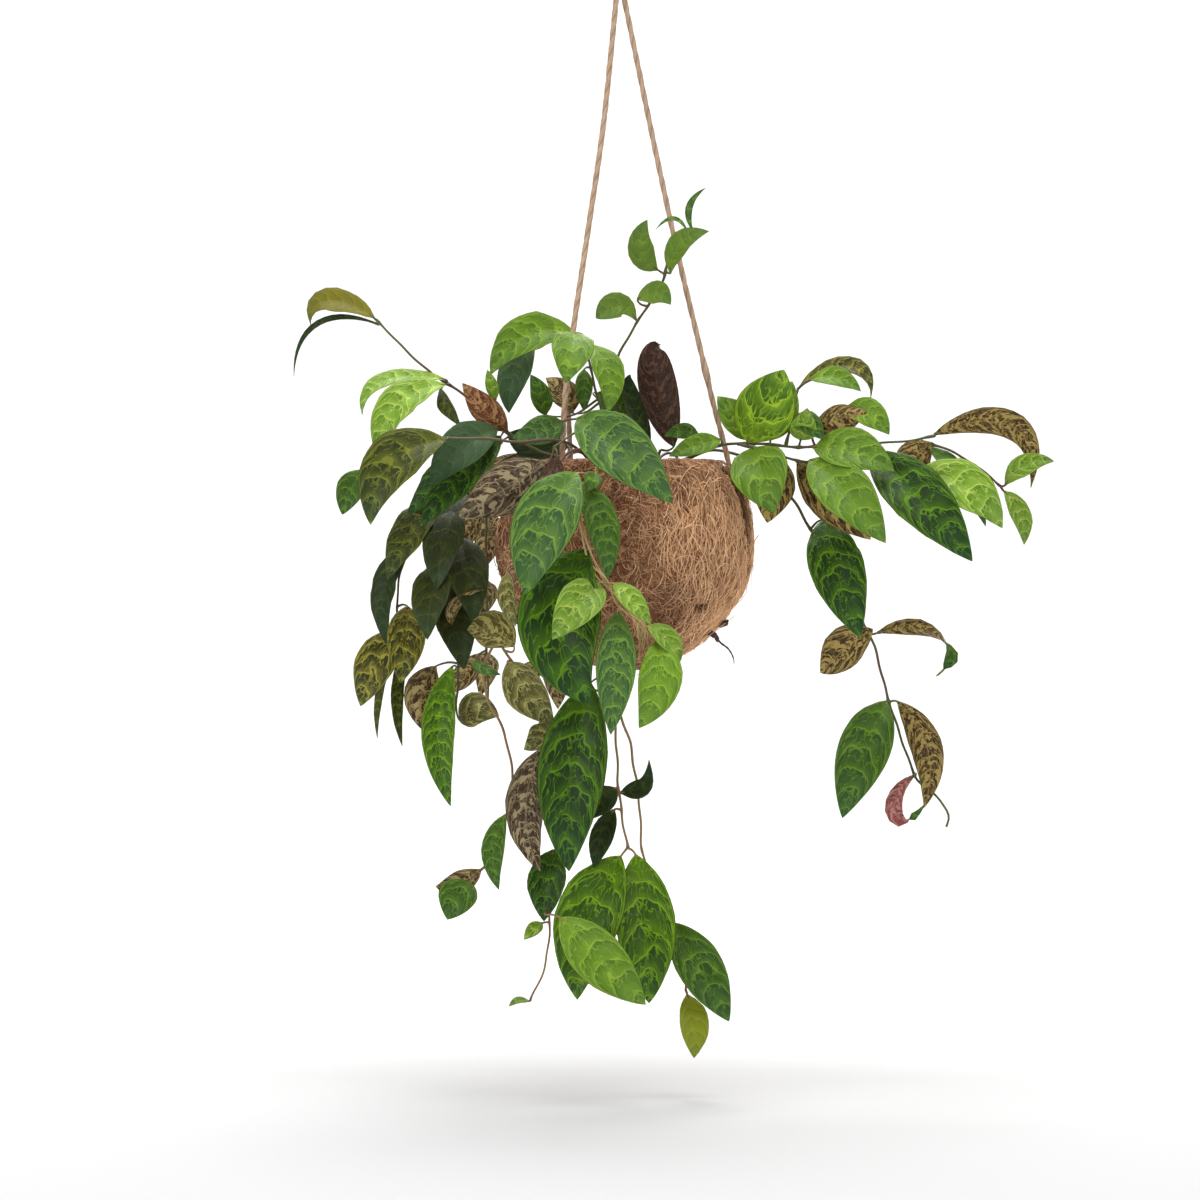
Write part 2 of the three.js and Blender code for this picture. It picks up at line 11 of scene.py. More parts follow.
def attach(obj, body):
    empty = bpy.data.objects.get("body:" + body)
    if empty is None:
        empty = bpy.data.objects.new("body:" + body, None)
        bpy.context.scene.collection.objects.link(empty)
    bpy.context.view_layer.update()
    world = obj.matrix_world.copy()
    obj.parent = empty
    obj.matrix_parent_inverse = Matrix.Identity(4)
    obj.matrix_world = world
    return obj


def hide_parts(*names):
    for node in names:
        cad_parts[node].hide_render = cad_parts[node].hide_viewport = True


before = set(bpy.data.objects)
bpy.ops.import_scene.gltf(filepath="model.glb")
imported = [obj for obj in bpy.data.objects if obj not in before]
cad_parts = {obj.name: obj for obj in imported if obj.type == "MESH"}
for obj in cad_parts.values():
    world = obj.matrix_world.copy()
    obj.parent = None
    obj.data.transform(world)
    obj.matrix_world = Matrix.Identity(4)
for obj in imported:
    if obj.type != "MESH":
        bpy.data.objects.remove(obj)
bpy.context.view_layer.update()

MM = 0.001

# The camera looks level at the plant from the front. The tables below give places in millimetres
# from the ball's centre, as it sees them, and one that lies deeper is spread away from its line of
# sight.
VIEWER = 2.4
AXIS = np.array([-0.0144, 0, -0.0342])
HANG = np.array([-0.0042, 0, 0.363])  # the inside top of the loop, from the ball's centre
LENS = 120
SENSOR = 36

# The twine.
TWINE = 0.0035
TWINE_STEP = 0.0009  # from ring to ring of its mesh
TWINE_SIDES = 18
TWIST = 0.022  # a strand's rise in one turn
HAIRS = 260  # on each leg
HAIR_LENGTH = (0.002, 0.008)
HAIR_RADIUS = 0.00006
KNOT_RADIUS = 0.0073
KNOT_HEIGHT = 0.014
KNOT_FOOT = 0.330
KNOT_TURNS = 3.1
LOOP_HALF = 0.0072

# The ball.
BALL_RADIUS = 0.075
WALL = 0.009
MOUTH_HEIGHT = 0.048
SOIL_TOP = 0.043


def spot(place):
    """A table's place in metres, moved back to its depth along the viewer's line of sight."""
    x, y, z = np.array(place, float) * MM
    spread = 1 + y / VIEWER
    return np.array([AXIS[0] + (x - AXIS[0]) * spread, y, AXIS[2] + (z - AXIS[2]) * spread])


def unit(v):
    v = np.asarray(v, float)
    return v / np.maximum(np.linalg.norm(v, axis=-1, keepdims=True), 1e-12)


def curve_through(points, fine=20):
    """Points along the smooth centripetal curve through a few points."""
    p = np.array(points, float)
    p = np.vstack([2 * p[0] - p[1], p, 2 * p[-1] - p[-2]])
    out = [p[1:2]]
    t = np.arange(1, fine + 1)[:, None] / fine
    for a, b, c, d in zip(p, p[1:], p[2:], p[3:]):
        before, here, after = (math.sqrt(np.linalg.norm(v)) for v in (b - a, c - b, d - c))
        start = (b - a) / before - (c - a) / (before + here) + (c - b) / here
        end = (c - b) / here - (d - b) / (here + after) + (d - c) / after
        start, end = start * here, end * here
        bend = 2 * b - 2 * c + start + end
        out.append(b + start * t + (3 * (c - b) - 2 * start - end) * t**2 + bend * t**3)
    return np.vstack(out)


def circle(angle):
    """The x and y of points at these angles round a circle of radius 1."""
    return np.stack([np.cos(angle), np.sin(angle)], -1)


def lengths(line):
    """How far along a line each of its points lies."""
    return np.concatenate([[0], np.cumsum(np.linalg.norm(np.diff(line, axis=0), axis=1))])


def at_length(line, far):
    """The places at these distances along a line."""
    along = lengths(line)
    return np.stack([np.interp(far, along, line[:, k]) for k in range(3)], axis=-1)


def respaced(line, step):
    far = lengths(line)[-1]
    return at_length(line, np.linspace(0, far, max(3, math.ceil(far / step) + 1)))


def frames(line):
    """Two directions across a line at each of its points, which turn with it and don't twist."""
    tangent = unit(np.gradient(line, axis=0))
    first = np.cross(tangent[0], [0, 1, 0] if abs(tangent[0][1]) < 0.9 else [1, 0, 0])
    sides = [unit(first)]
    for t in tangent[1:]:
        side = sides[-1] - t * np.dot(sides[-1], t)
        sides.append(unit(side))
    sides = np.array(sides)
    return sides, np.cross(tangent, sides)


def quads(rings, sides):
    """The faces between closed rings of points that follow one another."""
    k, s = np.meshgrid(np.arange(rings - 1), np.arange(sides), indexing="ij")
    a, b = k * sides + s, k * sides + (s + 1) % sides
    return np.stack([a, b, b + sides, a + sides], -1).reshape(-1, 4)


def turned(sides):
    """The angles of the points of a ring."""
    return 2 * np.pi * np.arange(sides) / sides


def tube(line, radius, sides):
    """Points and faces of a tube; radius is one number, or one for each ring or each point."""
    u, v = frames(line)
    if np.ndim(radius) < 2:
        radius = np.broadcast_to(radius, len(line))[:, None]
    across, up = np.moveaxis(circle(turned(sides)), -1, 0)
    ring = (radius * across)[..., None] * u[:, None] + (radius * up)[..., None] * v[:, None]
    points = (line[:, None] + ring).reshape(-1, 3)
    last = (len(line) - 1) * sides
    caps = [list(range(sides))[::-1], list(range(last, last + sides))]
    return points, quads(len(line), sides).tolist() + caps


class Heap:
    """Parts that are gathered into one mesh, each with its material and its named values."""

    def __init__(self):
        self.points, self.faces, self.finish, self.values, self.count = [], [], [], {}, 0

    def add(self, points, faces, material=0, **values):
        self.points.append(points)
        self.faces += [[i + self.count for i in face] for face in faces]
        self.finish += [material] * len(faces) if np.ndim(material) == 0 else list(material)
        for name, value in values.items():
            width = np.shape(value)[-1]
            found = self.values.setdefault(name, [])
            short = self.count - sum(len(v) for v in found)
            found += [np.zeros((short, width))] if short else []
            found.append(np.broadcast_to(value, (len(points), width)))
        self.count += len(points)

    def build(self, name, materials, slot, replaced=None):
        """Makes the mesh into a piece of the scene, which may stand in for a CAD node."""
        mesh = bpy.data.meshes.new(name)
        points = np.vstack(self.points) - HANG
        mesh.from_pydata(points.tolist(), [], self.faces)
        for value_name, found in self.values.items():
            value = np.vstack(found)
            value = np.vstack([value, np.zeros((self.count - len(value), value.shape[1]))])
            attribute = mesh.attributes.new(value_name, "FLOAT_VECTOR", "POINT")
            attribute.data.foreach_set("vector", value.astype(np.float32).ravel())
        mesh.polygons.foreach_set("use_smooth", [True] * len(mesh.polygons))
        for material in materials:
            mesh.materials.append(material)
        mesh.polygons.foreach_set("material_index", self.finish)
        mesh.update()
        piece = bpy.data.objects.new(name, mesh)
        bpy.context.scene.collection.objects.link(piece)
        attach(piece, "root")
        if replaced:
            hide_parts(replaced)
        return piece


# --- the camera ---------------------------------------------------------------------------------


def add_camera():
    camera = bpy.data.cameras.new("camera")
    camera.lens = LENS
    camera.sensor_width = SENSOR
    holder = bpy.data.objects.new("camera", camera)
    bpy.context.scene.collection.objects.link(holder)
    holder.location = Vector(AXIS - HANG) + Vector((0, -VIEWER, 0))
    holder.rotation_euler = (math.pi / 2, 0, 0)
    bpy.context.scene.camera = holder


# --- materials ----------------------------------------------------------------------------------


class Paint:
    """One material, whose nodes are added a call at a time."""

    def __init__(self, name):
        self.material = bpy.data.materials.new(name)
        self.material.use_nodes = True
        self.nodes = self.material.node_tree.nodes
        self.links = self.material.node_tree.links
        self.surface = self.nodes["Principled BSDF"]

    def put(self, value, socket):
        if isinstance(value, bpy.types.NodeSocket):
            self.links.new(value, socket)
        else:
            socket.default_value = value

    def add(self, kind, inputs, out=0, **settings):
        node = self.nodes.new(kind)
        for key, value in settings.items():
            setattr(node, key, value)
        for key, value in inputs.items():
            self.put(value, node.inputs[key])
        return node.outputs[out]

    def value(self, name, part=None):
        """A named value of the mesh, whole or one of its three parts."""
        whole = self.add("ShaderNodeAttribute", {}, "Vector", attribute_name=name)
        return whole if part is None else self.add("ShaderNodeSeparateXYZ", {0: whole}, part)

    def place(self):
        return self.add("ShaderNodeTexCoord", {}, "Object")

    def sum(self, operation, a, b=0.0, c=0.0, clamp=False):
        return self.add("ShaderNodeMath", {0: a, 1: b, 2: c}, operation=operation, use_clamp=clamp)

    def ramp(self, value, low, high, to=(0.0, 1.0)):
        """Turns smoothly from one number to another while the value goes from low to high."""
        inputs = {0: value, 1: low, 2: high, 3: to[0], 4: to[1]}
        return self.add("ShaderNodeMapRange", inputs, interpolation_type="SMOOTHSTEP")

    def mix(self, share, a, b, blend="MIX"):
        inputs = {0: share, 6: a, 7: b}
        return self.add("ShaderNodeMix", inputs, 2, data_type="RGBA", blend_type=blend)

    def noise(self, at, scale, detail=2.0, rough=0.5, out=0):
        inputs = {"Vector": at, "Scale": scale, "Detail": detail, "Roughness": rough}
        return self.add("ShaderNodeTexNoise", inputs, out)

    def bump(self, height, depth, strength=1.0, normal=None):
        inputs = {"Height": height, "Distance": depth, "Strength": strength}
        if normal is not None:
            inputs["Normal"] = normal
        return self.add("ShaderNodeBump", inputs)

    def finish(self, **inputs):
        for key, value in inputs.items():
            self.put(value, self.surface.inputs[key.replace("_", " ")])
        return self.material


def rgb(red, green, blue):
    """A colour as it is seen on a screen, from 0 to 255, as the shader's own."""
    def linear(c):
        c /= 255
        return c / 12.92 if c <= 0.04045 else ((c + 0.055) / 1.055) ** 2.4
    return (linear(red), linear(green), linear(blue), 1)


def twine_paint():
    """Jute: pale tan, in fine fibres along each strand, with painted shade in the groove between
    strands.
    """
    paint = Paint("twine")
    across, along, height = (paint.value("weave", part) for part in "XYZ")
    place = paint.add("ShaderNodeCombineXYZ", {0: across, 1: along})
    streak = paint.noise(place, 1.0, 4.0, 0.6)
    colour = paint.mix(paint.ramp(streak, 0.38, 0.62), rgb(186, 150, 122), rgb(232, 202, 174))
    patch = paint.noise(paint.place(), 90.0, 2.0)
    colour = paint.mix(paint.ramp(patch, 0.45, 0.7, (0.0, 0.5)), colour, rgb(206, 168, 136))
    # Painted shade: the groove between the strands, where the lobe is low, is darkened.
    colour = paint.mix(paint.ramp(height, 0.0, 0.5, (0.7, 0.0)), colour, rgb(138, 100, 74))
    return paint.finish(Base_Color=colour, Roughness=0.92, Normal=paint.bump(streak, 0.0006))


def fuzz_paint(name, dark, light):
    """Loose fibres, each of its own shade, which on the ball's fibres also holds painted shade and
    painted light.
    """
    paint = Paint(name)
    colour = paint.mix(paint.value("shade", "X"), dark, light)
    return paint.finish(Base_Color=colour, Roughness=0.85)


# --- the twine ----------------------------------------------------------------------------------


LEGS = {
    "twine_leg_left_front": [
        (-36, -34, 34), (-37, -36, 48), (-34.5, -30, 98), (-30, -25.6, 131), (-21.5, -18.4, 188),
        (-12.5, -11.2, 250), (-4.4, -3.2, 329)],
    "twine_leg_left_back": [
        (-32, 38, 34), (-32, 38, 48), (-33.6, 31.5, 98), (-30, 27.4, 131), (-21.5, 20, 188),
        (-12.5, 12.4, 250), (-4.4, 3.2, 329)],
    "twine_leg_right": [
        (67.6, 0, 22), (64.6, 0, 38), (61.6, 0, 53), (53, 0, 86), (49, 0, 103), (34, 0, 166),
        (20, 0, 230), (-0.4, 0, 329)],
}
SPLICES = {"twine_leg_right": 0.1026}  # the height at which an end is worked in
SPLICE_LENGTH = 0.004


def lay_twine(name, line, paint):
    """A twine in place of its CAD node: two strands laid together, as a tube with two lobes, which
    turn along it. It swells at its splice."""
    far = lengths(line)[:, None]
    angle = turned(TWINE_SIDES) - 2 * np.pi * far / TWIST
    lobe = np.abs(np.cos(angle))
    swell = 0.0
    if name in SPLICES:
        swell = 0.5 * np.exp(-(((line[:, 2:] - SPLICES[name]) / SPLICE_LENGTH) ** 2))
    radius = TWINE / 2 * (0.74 + 0.26 * lobe**0.8) * (1 + swell)
    points, faces = tube(line, radius, TWINE_SIDES)
    weave = np.stack([np.cos(angle * 6) * 3, far * 420 + np.sin(angle * 6) * 2, lobe], -1)
    heap = Heap()
    heap.add(points, faces, weave=weave.reshape(-1, 3))
    return heap.build(name.replace("twine", "jute"), [paint], "twine", name)


def hairs(line, rng):
    """Fine fibres that lie along a twine and lift off it."""
    far = lengths(line)[-1]
    u, v = frames(line)
    heap = Heap()
    for _ in range(HAIRS):
        start = rng.uniform(0, far * 0.995)
        reach = rng.uniform(*HAIR_LENGTH)
        steps = np.linspace(0, 1, 5)
        centre = at_length(line, np.clip(start + reach * steps * rng.choice([-1, 1]), 0, far))
        k = int(start / far * (len(line) - 1))
        angle = rng.uniform(0, 2 * np.pi) + steps * rng.uniform(-1.4, 1.4)
        lift = TWINE * (0.44 + 0.42 * rng.uniform(0, 1) ** 2.2 * steps**1.5)
        off = lift[:, None] * (circle(angle) @ [u[k], v[k]])
        points, faces = tube(centre + off, HAIR_RADIUS, 3)
        heap.add(points, faces, shade=[rng.uniform(), 0, 0])
    return heap


def knot_paths():
    """The wraps of the knot, wound round the legs, and the loop above it."""
    t = np.linspace(0, 1, 90)
    x, y = (KNOT_RADIUS - TWINE / 2) * circle(2 * np.pi * KNOT_TURNS * t + 0.6).T
    wraps = np.stack([HANG[0] + x, y, KNOT_FOOT + TWINE / 2 + (KNOT_HEIGHT - TWINE) * t], -1)
    foot = KNOT_FOOT + KNOT_HEIGHT - 0.004
    top = HANG[2] + TWINE / 2
    bend, slope = top - LOOP_HALF, LOOP_HALF * math.sqrt(0.5)
    half = [(0.0024, foot), (0.0052, foot + 0.009), (LOOP_HALF, bend), (slope, bend + slope)]
    shape = [(-x, z) for x, z in half] + [(0, top)] + half[::-1]
    return wraps, curve_through([(HANG[0] + x, 0, z) for x, z in shape], 12)


def add_twine():
    """The legs, the knot and the loop, with the loose fibres of the legs."""
    jute = twine_paint()
    fuzz = fuzz_paint("jute_fuzz", rgb(170, 132, 98), rgb(226, 198, 162))
    rng = np.random.default_rng(7)
    for name, points in LEGS.items():
        line = respaced(curve_through([spot(p) for p in points]), TWINE_STEP)
        piece = lay_twine(name, line, jute)
        loose = hairs(line, rng).build(name.replace("twine", "fuzz"), [fuzz], "twine")
    for name, line in zip(("twine_knot", "twine_loop"), knot_paths()):
        lay_twine(name, respaced(line, TWINE_STEP), jute)


# --- the vines' materials -----------------------------------------------------------------------

# The upper side of a leaf: its ground, its markings and how strongly they show.
UPPER = {
    "A": ((122, 116, 30), (160, 152, 50), 0.4),
    "B": ((62, 94, 44), (120, 158, 60), 0.9),
    "C": ((66, 92, 56), (98, 126, 72), 0.5),
    "D": ((32, 58, 8), (90, 134, 12), 1.0),
    "E": ((54, 88, 8), (120, 160, 22), 1.0),
    "G": ((54, 86, 20), (106, 144, 38), 0.9),
    "K": ((34, 46, 16), (70, 90, 28), 0.7),
    "L": ((108, 146, 32), (180, 206, 96), 0.85),
    "M": ((80, 78, 28), (170, 164, 98), 1.0),
    "O": ((54, 60, 14), (120, 126, 40), 0.9),
    "P": ((94, 131, 28), (146, 180, 56), 0.8),
    "Q": ((44, 52, 14), (82, 90, 26), 0.6),
    "S": ((94, 124, 36), (132, 158, 58), 0.45),
    "V": ((60, 60, 16), (164, 156, 60), 1.0),
    "X": ((84, 122, 12), (160, 196, 42), 1.0),
    "Y": ((136, 148, 26), (172, 180, 60), 0.45),
}
# Its underside: the blotches between its veins, its veins and how wide they are.
UNDER = {
    "m": ((84, 76, 28), (172, 164, 98), 1.2),
    "n": ((50, 34, 28), (96, 68, 50), 0.9),
    "r": ((126, 68, 64), (186, 128, 118), 1.2),
    "t": ((94, 46, 32), (170, 130, 84), 1.1),
    "u": ((62, 40, 22), (172, 154, 100), 1.3),
    "w": ((58, 44, 32), (158, 142, 108), 0.9),
    "y": ((56, 34, 16), (166, 144, 80), 1.3),
}


class Blade:
    """What the two leaf materials share: where a point lies on its leaf, and its net of veins.
    The veins are arches across the leaf, one behind the other, whose legs run along its margins,
    with strokes from each arch towards the tip."""

    def __init__(self, paint, width):
        self.across, self.along, self.half = (paint.value("leaf", part) for part in "XYZ")
        self.place = paint.add("ShaderNodeCombineXYZ", {
            0: self.across, 1: self.along, 2: paint.value("trait", "Z")})
        self.rim = paint.sum("DIVIDE", paint.sum("ABSOLUTE", self.across), self.half)
        square = paint.sum("MULTIPLY", self.rim, self.rim)
        leg = paint.sum("INVERSE_SQRT", paint.sum("SUBTRACT", 1.04, square))
        drop = paint.sum("MULTIPLY_ADD", square, 0.5, paint.sum("MULTIPLY_ADD", leg, 0.6, -0.6))
        bent = paint.sum("MULTIPLY_ADD", paint.sum("MULTIPLY", drop, self.half), -1.0, self.along)
        wobble = paint.sum("SUBTRACT", paint.noise(self.place, 0.09, 2.0, 0.3), 0.5)
        phase = paint.sum("DIVIDE", paint.sum("MULTIPLY_ADD", wobble, 18.0, bent), 14.0)
        self.saw = paint.sum("FRACT", phase)
        ridge = paint.sum("PINGPONG", phase, 0.5)
        broken = paint.ramp(paint.noise(self.place, 0.21, 2.0), 0.30, 0.42)
        arch = paint.ramp(paint.sum("DIVIDE", ridge, width), 0.03, 0.055, (1.0, 0.0))
        arch = paint.sum("MULTIPLY", arch, broken)
        shift = paint.noise(self.place, 0.3, 1.0, out=1)

        def warped(along, layer, by):
            place = paint.add("ShaderNodeCombineXYZ", {0: self.across, 1: along, 2: layer})
            return paint.add("ShaderNodeVectorMath", {
                0: shift, 1: (by, by, 0.0), 2: place}, operation="MULTIPLY_ADD")

        net = warped(paint.sum("MULTIPLY", bent, 0.5), paint.sum("MULTIPLY", phase, 0.6), 2.0)
        cells = paint.add("ShaderNodeTexVoronoi", {"Vector": net, "Scale": 0.19},
                          feature="DISTANCE_TO_EDGE")
        cells = paint.ramp(paint.sum("DIVIDE", cells, width), 0.035, 0.065, (1.0, 0.0))
        self.blotch = paint.noise(warped(bent, phase, 4.0), 0.21, 1.0, 0.4)
        curl = paint.noise(net, 0.22, 1.0, 0.4)
        curl = paint.sum("ABSOLUTE", paint.sum("SUBTRACT", curl, 0.5))
        curl = paint.ramp(paint.sum("DIVIDE", curl, width), 0.010, 0.024, (0.85, 0.0))
        fade = paint.ramp(self.saw, 0.12, 0.5, (1.0, 0.05))
        stroke = paint.sum("MULTIPLY", cells, fade)
        stroke = paint.sum("MULTIPLY", paint.sum("MAXIMUM", stroke, curl), broken)
        self.veins = paint.sum("MAXIMUM", arch, paint.sum("MULTIPLY", stroke, 0.8))
        self.relief = paint.sum("MAXIMUM", arch, stroke)


def upper_paint():
    """The marbled upper side: pale veins on green, lighter near the stalk, bluish at the tip."""
    paint = Paint("leaf_upper")
    blade = Blade(paint, 1.0)
    tone, mark = paint.value("tone"), paint.value("mark")
    strength = paint.value("trait", "Y")
    cloud = paint.ramp(paint.noise(blade.place, 0.09, 2.0), 0.35, 0.65, (0.0, 0.5))
    cool = paint.mix(1.0, tone, rgb(236, 240, 255), "MULTIPLY")
    ground = paint.mix(cloud, tone, paint.mix(0.06, cool, rgb(110, 140, 130)))
    shade = paint.sum("ABSOLUTE", paint.sum("SUBTRACT", blade.saw, 0.2))
    shade = paint.ramp(shade, 0.05, 0.2, (0.3, 0.0))
    ground = paint.mix(paint.sum("MULTIPLY", shade, strength), ground, rgb(18, 40, 20))
    before = paint.ramp(blade.saw, 0.5, 1.0, (0.0, 0.36))
    ground = paint.mix(paint.sum("MULTIPLY", before, strength), ground, mark)
    colour = paint.mix(paint.sum("MULTIPLY", blade.veins, strength, clamp=True), ground, mark)
    colour = paint.mix(paint.ramp(blade.rim, 0.90, 0.95, (0.0, 0.45)), colour, mark)
    colour = paint.mix(paint.ramp(blade.rim, 0.965, 0.985, (0.0, 0.7)), colour, rgb(26, 34, 16))
    rib = paint.ramp(paint.sum("ABSOLUTE", blade.across), 0.2, 0.6, (0.2, 0.0))
    colour = paint.mix(rib, colour, mark)
    share = paint.value("trait", "X")
    colour = paint.mix(paint.ramp(share, 0.0, 0.3, (0.28, 0.0)), colour, mark)
    colour = paint.mix(paint.ramp(share, 0.55, 1.0, (0.0, 0.22)), colour, rgb(40, 84, 62))
    quilt = paint.bump(blade.relief, 0.0003, 0.5)
    skin = paint.bump(paint.noise(blade.place, 1.4, 2.0), 0.0001, 0.6, quilt)
    rough = paint.ramp(paint.noise(blade.place, 0.3, 2.0), 0.3, 0.7, (0.42, 0.56))
    return paint.finish(Base_Color=colour, Roughness=rough, Normal=skin, Specular_IOR_Level=0.18)


def under_paint():
    """The underside: dark blotches between pale veins."""
    paint = Paint("leaf_under")
    blade = Blade(paint, paint.value("trait", "Y"))
    below, blot = paint.value("below"), paint.value("blot")
    cloud = paint.ramp(paint.noise(blade.place, 0.25, 3.0), 0.42, 0.6, (0.0, 0.16))
    ground = paint.mix(cloud, blot, below)
    share = paint.sum("MULTIPLY_ADD", paint.value("trait", "Y"), 0.045, blade.blotch)
    pale = paint.ramp(share, 0.62, 0.65)
    colour = paint.mix(paint.sum("MAXIMUM", pale, blade.veins), ground, below)
    rib = paint.ramp(paint.sum("ABSOLUTE", blade.across), 0.4, 0.9, (0.4, 0.0))
    colour = paint.mix(rib, colour, below)
    colour = paint.mix(paint.ramp(blade.rim, 0.94, 0.985, (0.0, 0.6)), colour, blot)
    skin = paint.bump(paint.noise(blade.place, 0.8, 3.0), 0.0003, 0.6)
    return paint.finish(Base_Color=colour, Roughness=0.55, Normal=skin, Specular_IOR_Level=0.2)


def stem_paint(name, young, old):
    """A thin stem: green to brown along it, with fine lengthwise lines."""
    paint = Paint(name)
    around, along = paint.value("leaf", "X"), paint.value("leaf", "Y")
    place = paint.add("ShaderNodeCombineXYZ", {0: around, 1: paint.sum("MULTIPLY", along, 0.25)})
    lines = paint.noise(place, 2.4, 3.0)
    age = paint.noise(paint.place(), 26.0, 2.0)
    colour = paint.mix(paint.ramp(age, 0.38, 0.62), young, old)
    colour = paint.mix(paint.ramp(lines, 0.5, 0.75, (0.0, 0.45)), colour, rgb(58, 40, 28))
    return paint.finish(Base_Color=colour, Roughness=0.55, Normal=paint.bump(lines, 0.0002))


# --- the vines ----------------------------------------------------------------------------------

STEM = 0.0009  # radius
STALK = 0.00075
BLADE = 0.0005  # thickness
FOLD = math.radians(14)
BROAD_LEAF = 0.036
RIB_STEP = 0.0028
STEM_STEP = 0.0025
STALK_STEP = 0.0012
NODE_REACH = 0.012  # a leaf that starts nearer than this to a stem has a joint there
NODE_LENGTH = 0.0022
STEM_WOBBLE = 0.0004
STEM_FINISH, UPPER_FINISH, UNDER_FINISH = 0, 1, 2
# The blade's points across it, from margin to margin, and how they go round it, top and underside.
ACROSS = np.array([-1, -0.96, -0.8, -0.58, -0.36, -0.14, 0, 0.14, 0.36, 0.58, 0.8, 0.96, 1])
ROUND = np.concatenate([ACROSS, ACROSS[::-1]])


def half_width(u):
    """Half the width, of a leaf 1 wide, at a share u of its length: widest before its middle."""
    return 0.5 * np.sin(np.pi * np.clip(u, 0, 1) ** 0.87).clip(0) ** 0.85


def leaf_rib(row, count):
    """The midrib of a leaf, and at each of its points the ways ahead, across and up."""
    base, tip, _, turn, bow, sweep, curl, twist = row
    along = unit(tip - base)
    front = np.array([0, -1.0, 0])
    facing = Vector(unit(front - along * np.dot(front, along)))
    facing.rotate(Matrix.Rotation(math.radians(turn), 3, Vector(along)))
    upper = np.array(facing)
    side = np.cross(along, upper)
    middle = (base + tip) / 2 + 2 * bow * upper + 2 * sweep * side
    rise, fall = (end + (middle - end) * 2 / 3 for end in (base, tip))
    fall = fall if curl is None else curl
    even = np.linspace(0, 1, count)[:, None]
    u = 0.75 * (0.5 - 0.5 * np.cos(np.pi * even)) + 0.25 * even
    rib = (1 - u) ** 3 * base + 3 * u * (1 - u) ** 2 * rise + 3 * u**2 * (1 - u) * fall + u**3 * tip
    ahead = (1 - u) ** 2 * (rise - base) + 2 * u * (1 - u) * (fall - rise)
    ahead = unit(ahead + u**2 * (tip - fall))
    angle = math.radians(twist) * u
    side = side * np.cos(angle) + np.cross(ahead, side) * np.sin(angle) \
        + ahead * (ahead @ side)[:, None] * (1 - np.cos(angle))
    up = unit(np.cross(side, ahead))
    return u[:, 0], rib, ahead, np.cross(ahead, up), up


def blade_wave(far, rng):
    """How far the blade's points wave up and down, as a share of its half width: each margin does
    so in its own way."""
    wave = 0
    for hand in (-1, 1):
        swing = np.sin(2 * np.pi * far / rng.uniform(0.016, 0.024) + rng.uniform(0, 7))
        swing += 0.5 * np.sin(2 * np.pi * far / rng.uniform(0.007, 0.011) + rng.uniform(0, 7))
        wave = wave + (ACROSS * hand > 0) * swing * ACROSS**2 * rng.uniform(0.03, 0.08)
    return wave


def add_leaf(heap, row, tone, rng):
    """One blade: folded along its midrib, waved at its margins, and as thin as a leaf."""
    width, size = row[2], np.linalg.norm(row[1] - row[0])
    count, sides = int(np.clip(size / RIB_STEP, 14, 36)), len(ROUND)
    u, rib, ahead, across, up = leaf_rib(row, count)
    half = np.maximum(width * half_width(u), STALK * (1 - u) ** 3 + 0.0001)[:, None]
    far = lengths(rib)[:, None]
    fold = (np.sqrt(ACROSS**2 + 0.02) - 0.14) * math.sin(FOLD)
    dome = 0.10 * (1 - ACROSS**2) * np.abs(ACROSS)
    height = half * (fold + dome + blade_wave(far, rng))
    flat = half * ACROSS * math.cos(FOLD)
    middle = rib[:, None] + flat[..., None] * across[:, None] + height[..., None] * up[:, None]
    thick = up[:, None] * (BLADE / 2 * (1 - 0.6 * ACROSS**6))[:, None]
    points = np.concatenate([middle + thick, (middle - thick)[:, ::-1]], axis=1).reshape(-1, 3)

    side = np.tile(np.arange(sides), count - 1)
    over = (side < len(ACROSS) - 1) | (side == sides - 1)
    finish = np.where(over, UPPER_FINISH, UNDER_FINISH).tolist() + [UPPER_FINISH] * 2
    last = (count - 1) * sides
    faces = quads(count, sides)[:, [0, 3, 2, 1]].tolist()
    faces += [list(range(sides)), list(range(last, last + sides))[::-1]]

    upper, under = UPPER.get(tone, UPPER["G"]), UNDER.get(tone, UNDER["u"])
    grain = MM * np.clip(width / BROAD_LEAF, 0.5, 1.25)  # a small leaf has a finer net
    seed, shift = rng.uniform(0, 900), rng.uniform(0.88, 1.12)

    def values(*parts):
        parts = [np.broadcast_to(part, (count, sides)) for part in parts]
        return np.stack(parts, -1).reshape(-1, 3)

    strength = np.repeat([upper[2], under[2]], len(ACROSS))
    shades = {"tone": upper[0], "mark": upper[1], "below": under[1], "blot": under[0]}
    heap.add(points, faces, finish, leaf=values(half * ROUND, far, half) / grain,
             trait=values(u[:, None], strength, seed),
             **{name: np.array(rgb(*shade)[:3]) * shift for name, shade in shades.items()})
    return rib, ahead


def nearest_on(lines, place):
    every = np.vstack(lines)
    return every[np.argmin(np.linalg.norm(every - place, axis=1))]


def add_stem(heap, line, radius, sides=8):
    points, faces = tube(line, radius, sides)
    far = np.repeat(lengths(line), sides)
    around = np.tile(np.arange(sides), len(line))
    heap.add(points, faces, STEM_FINISH, leaf=np.stack([around, far / MM, 0 * far], -1))


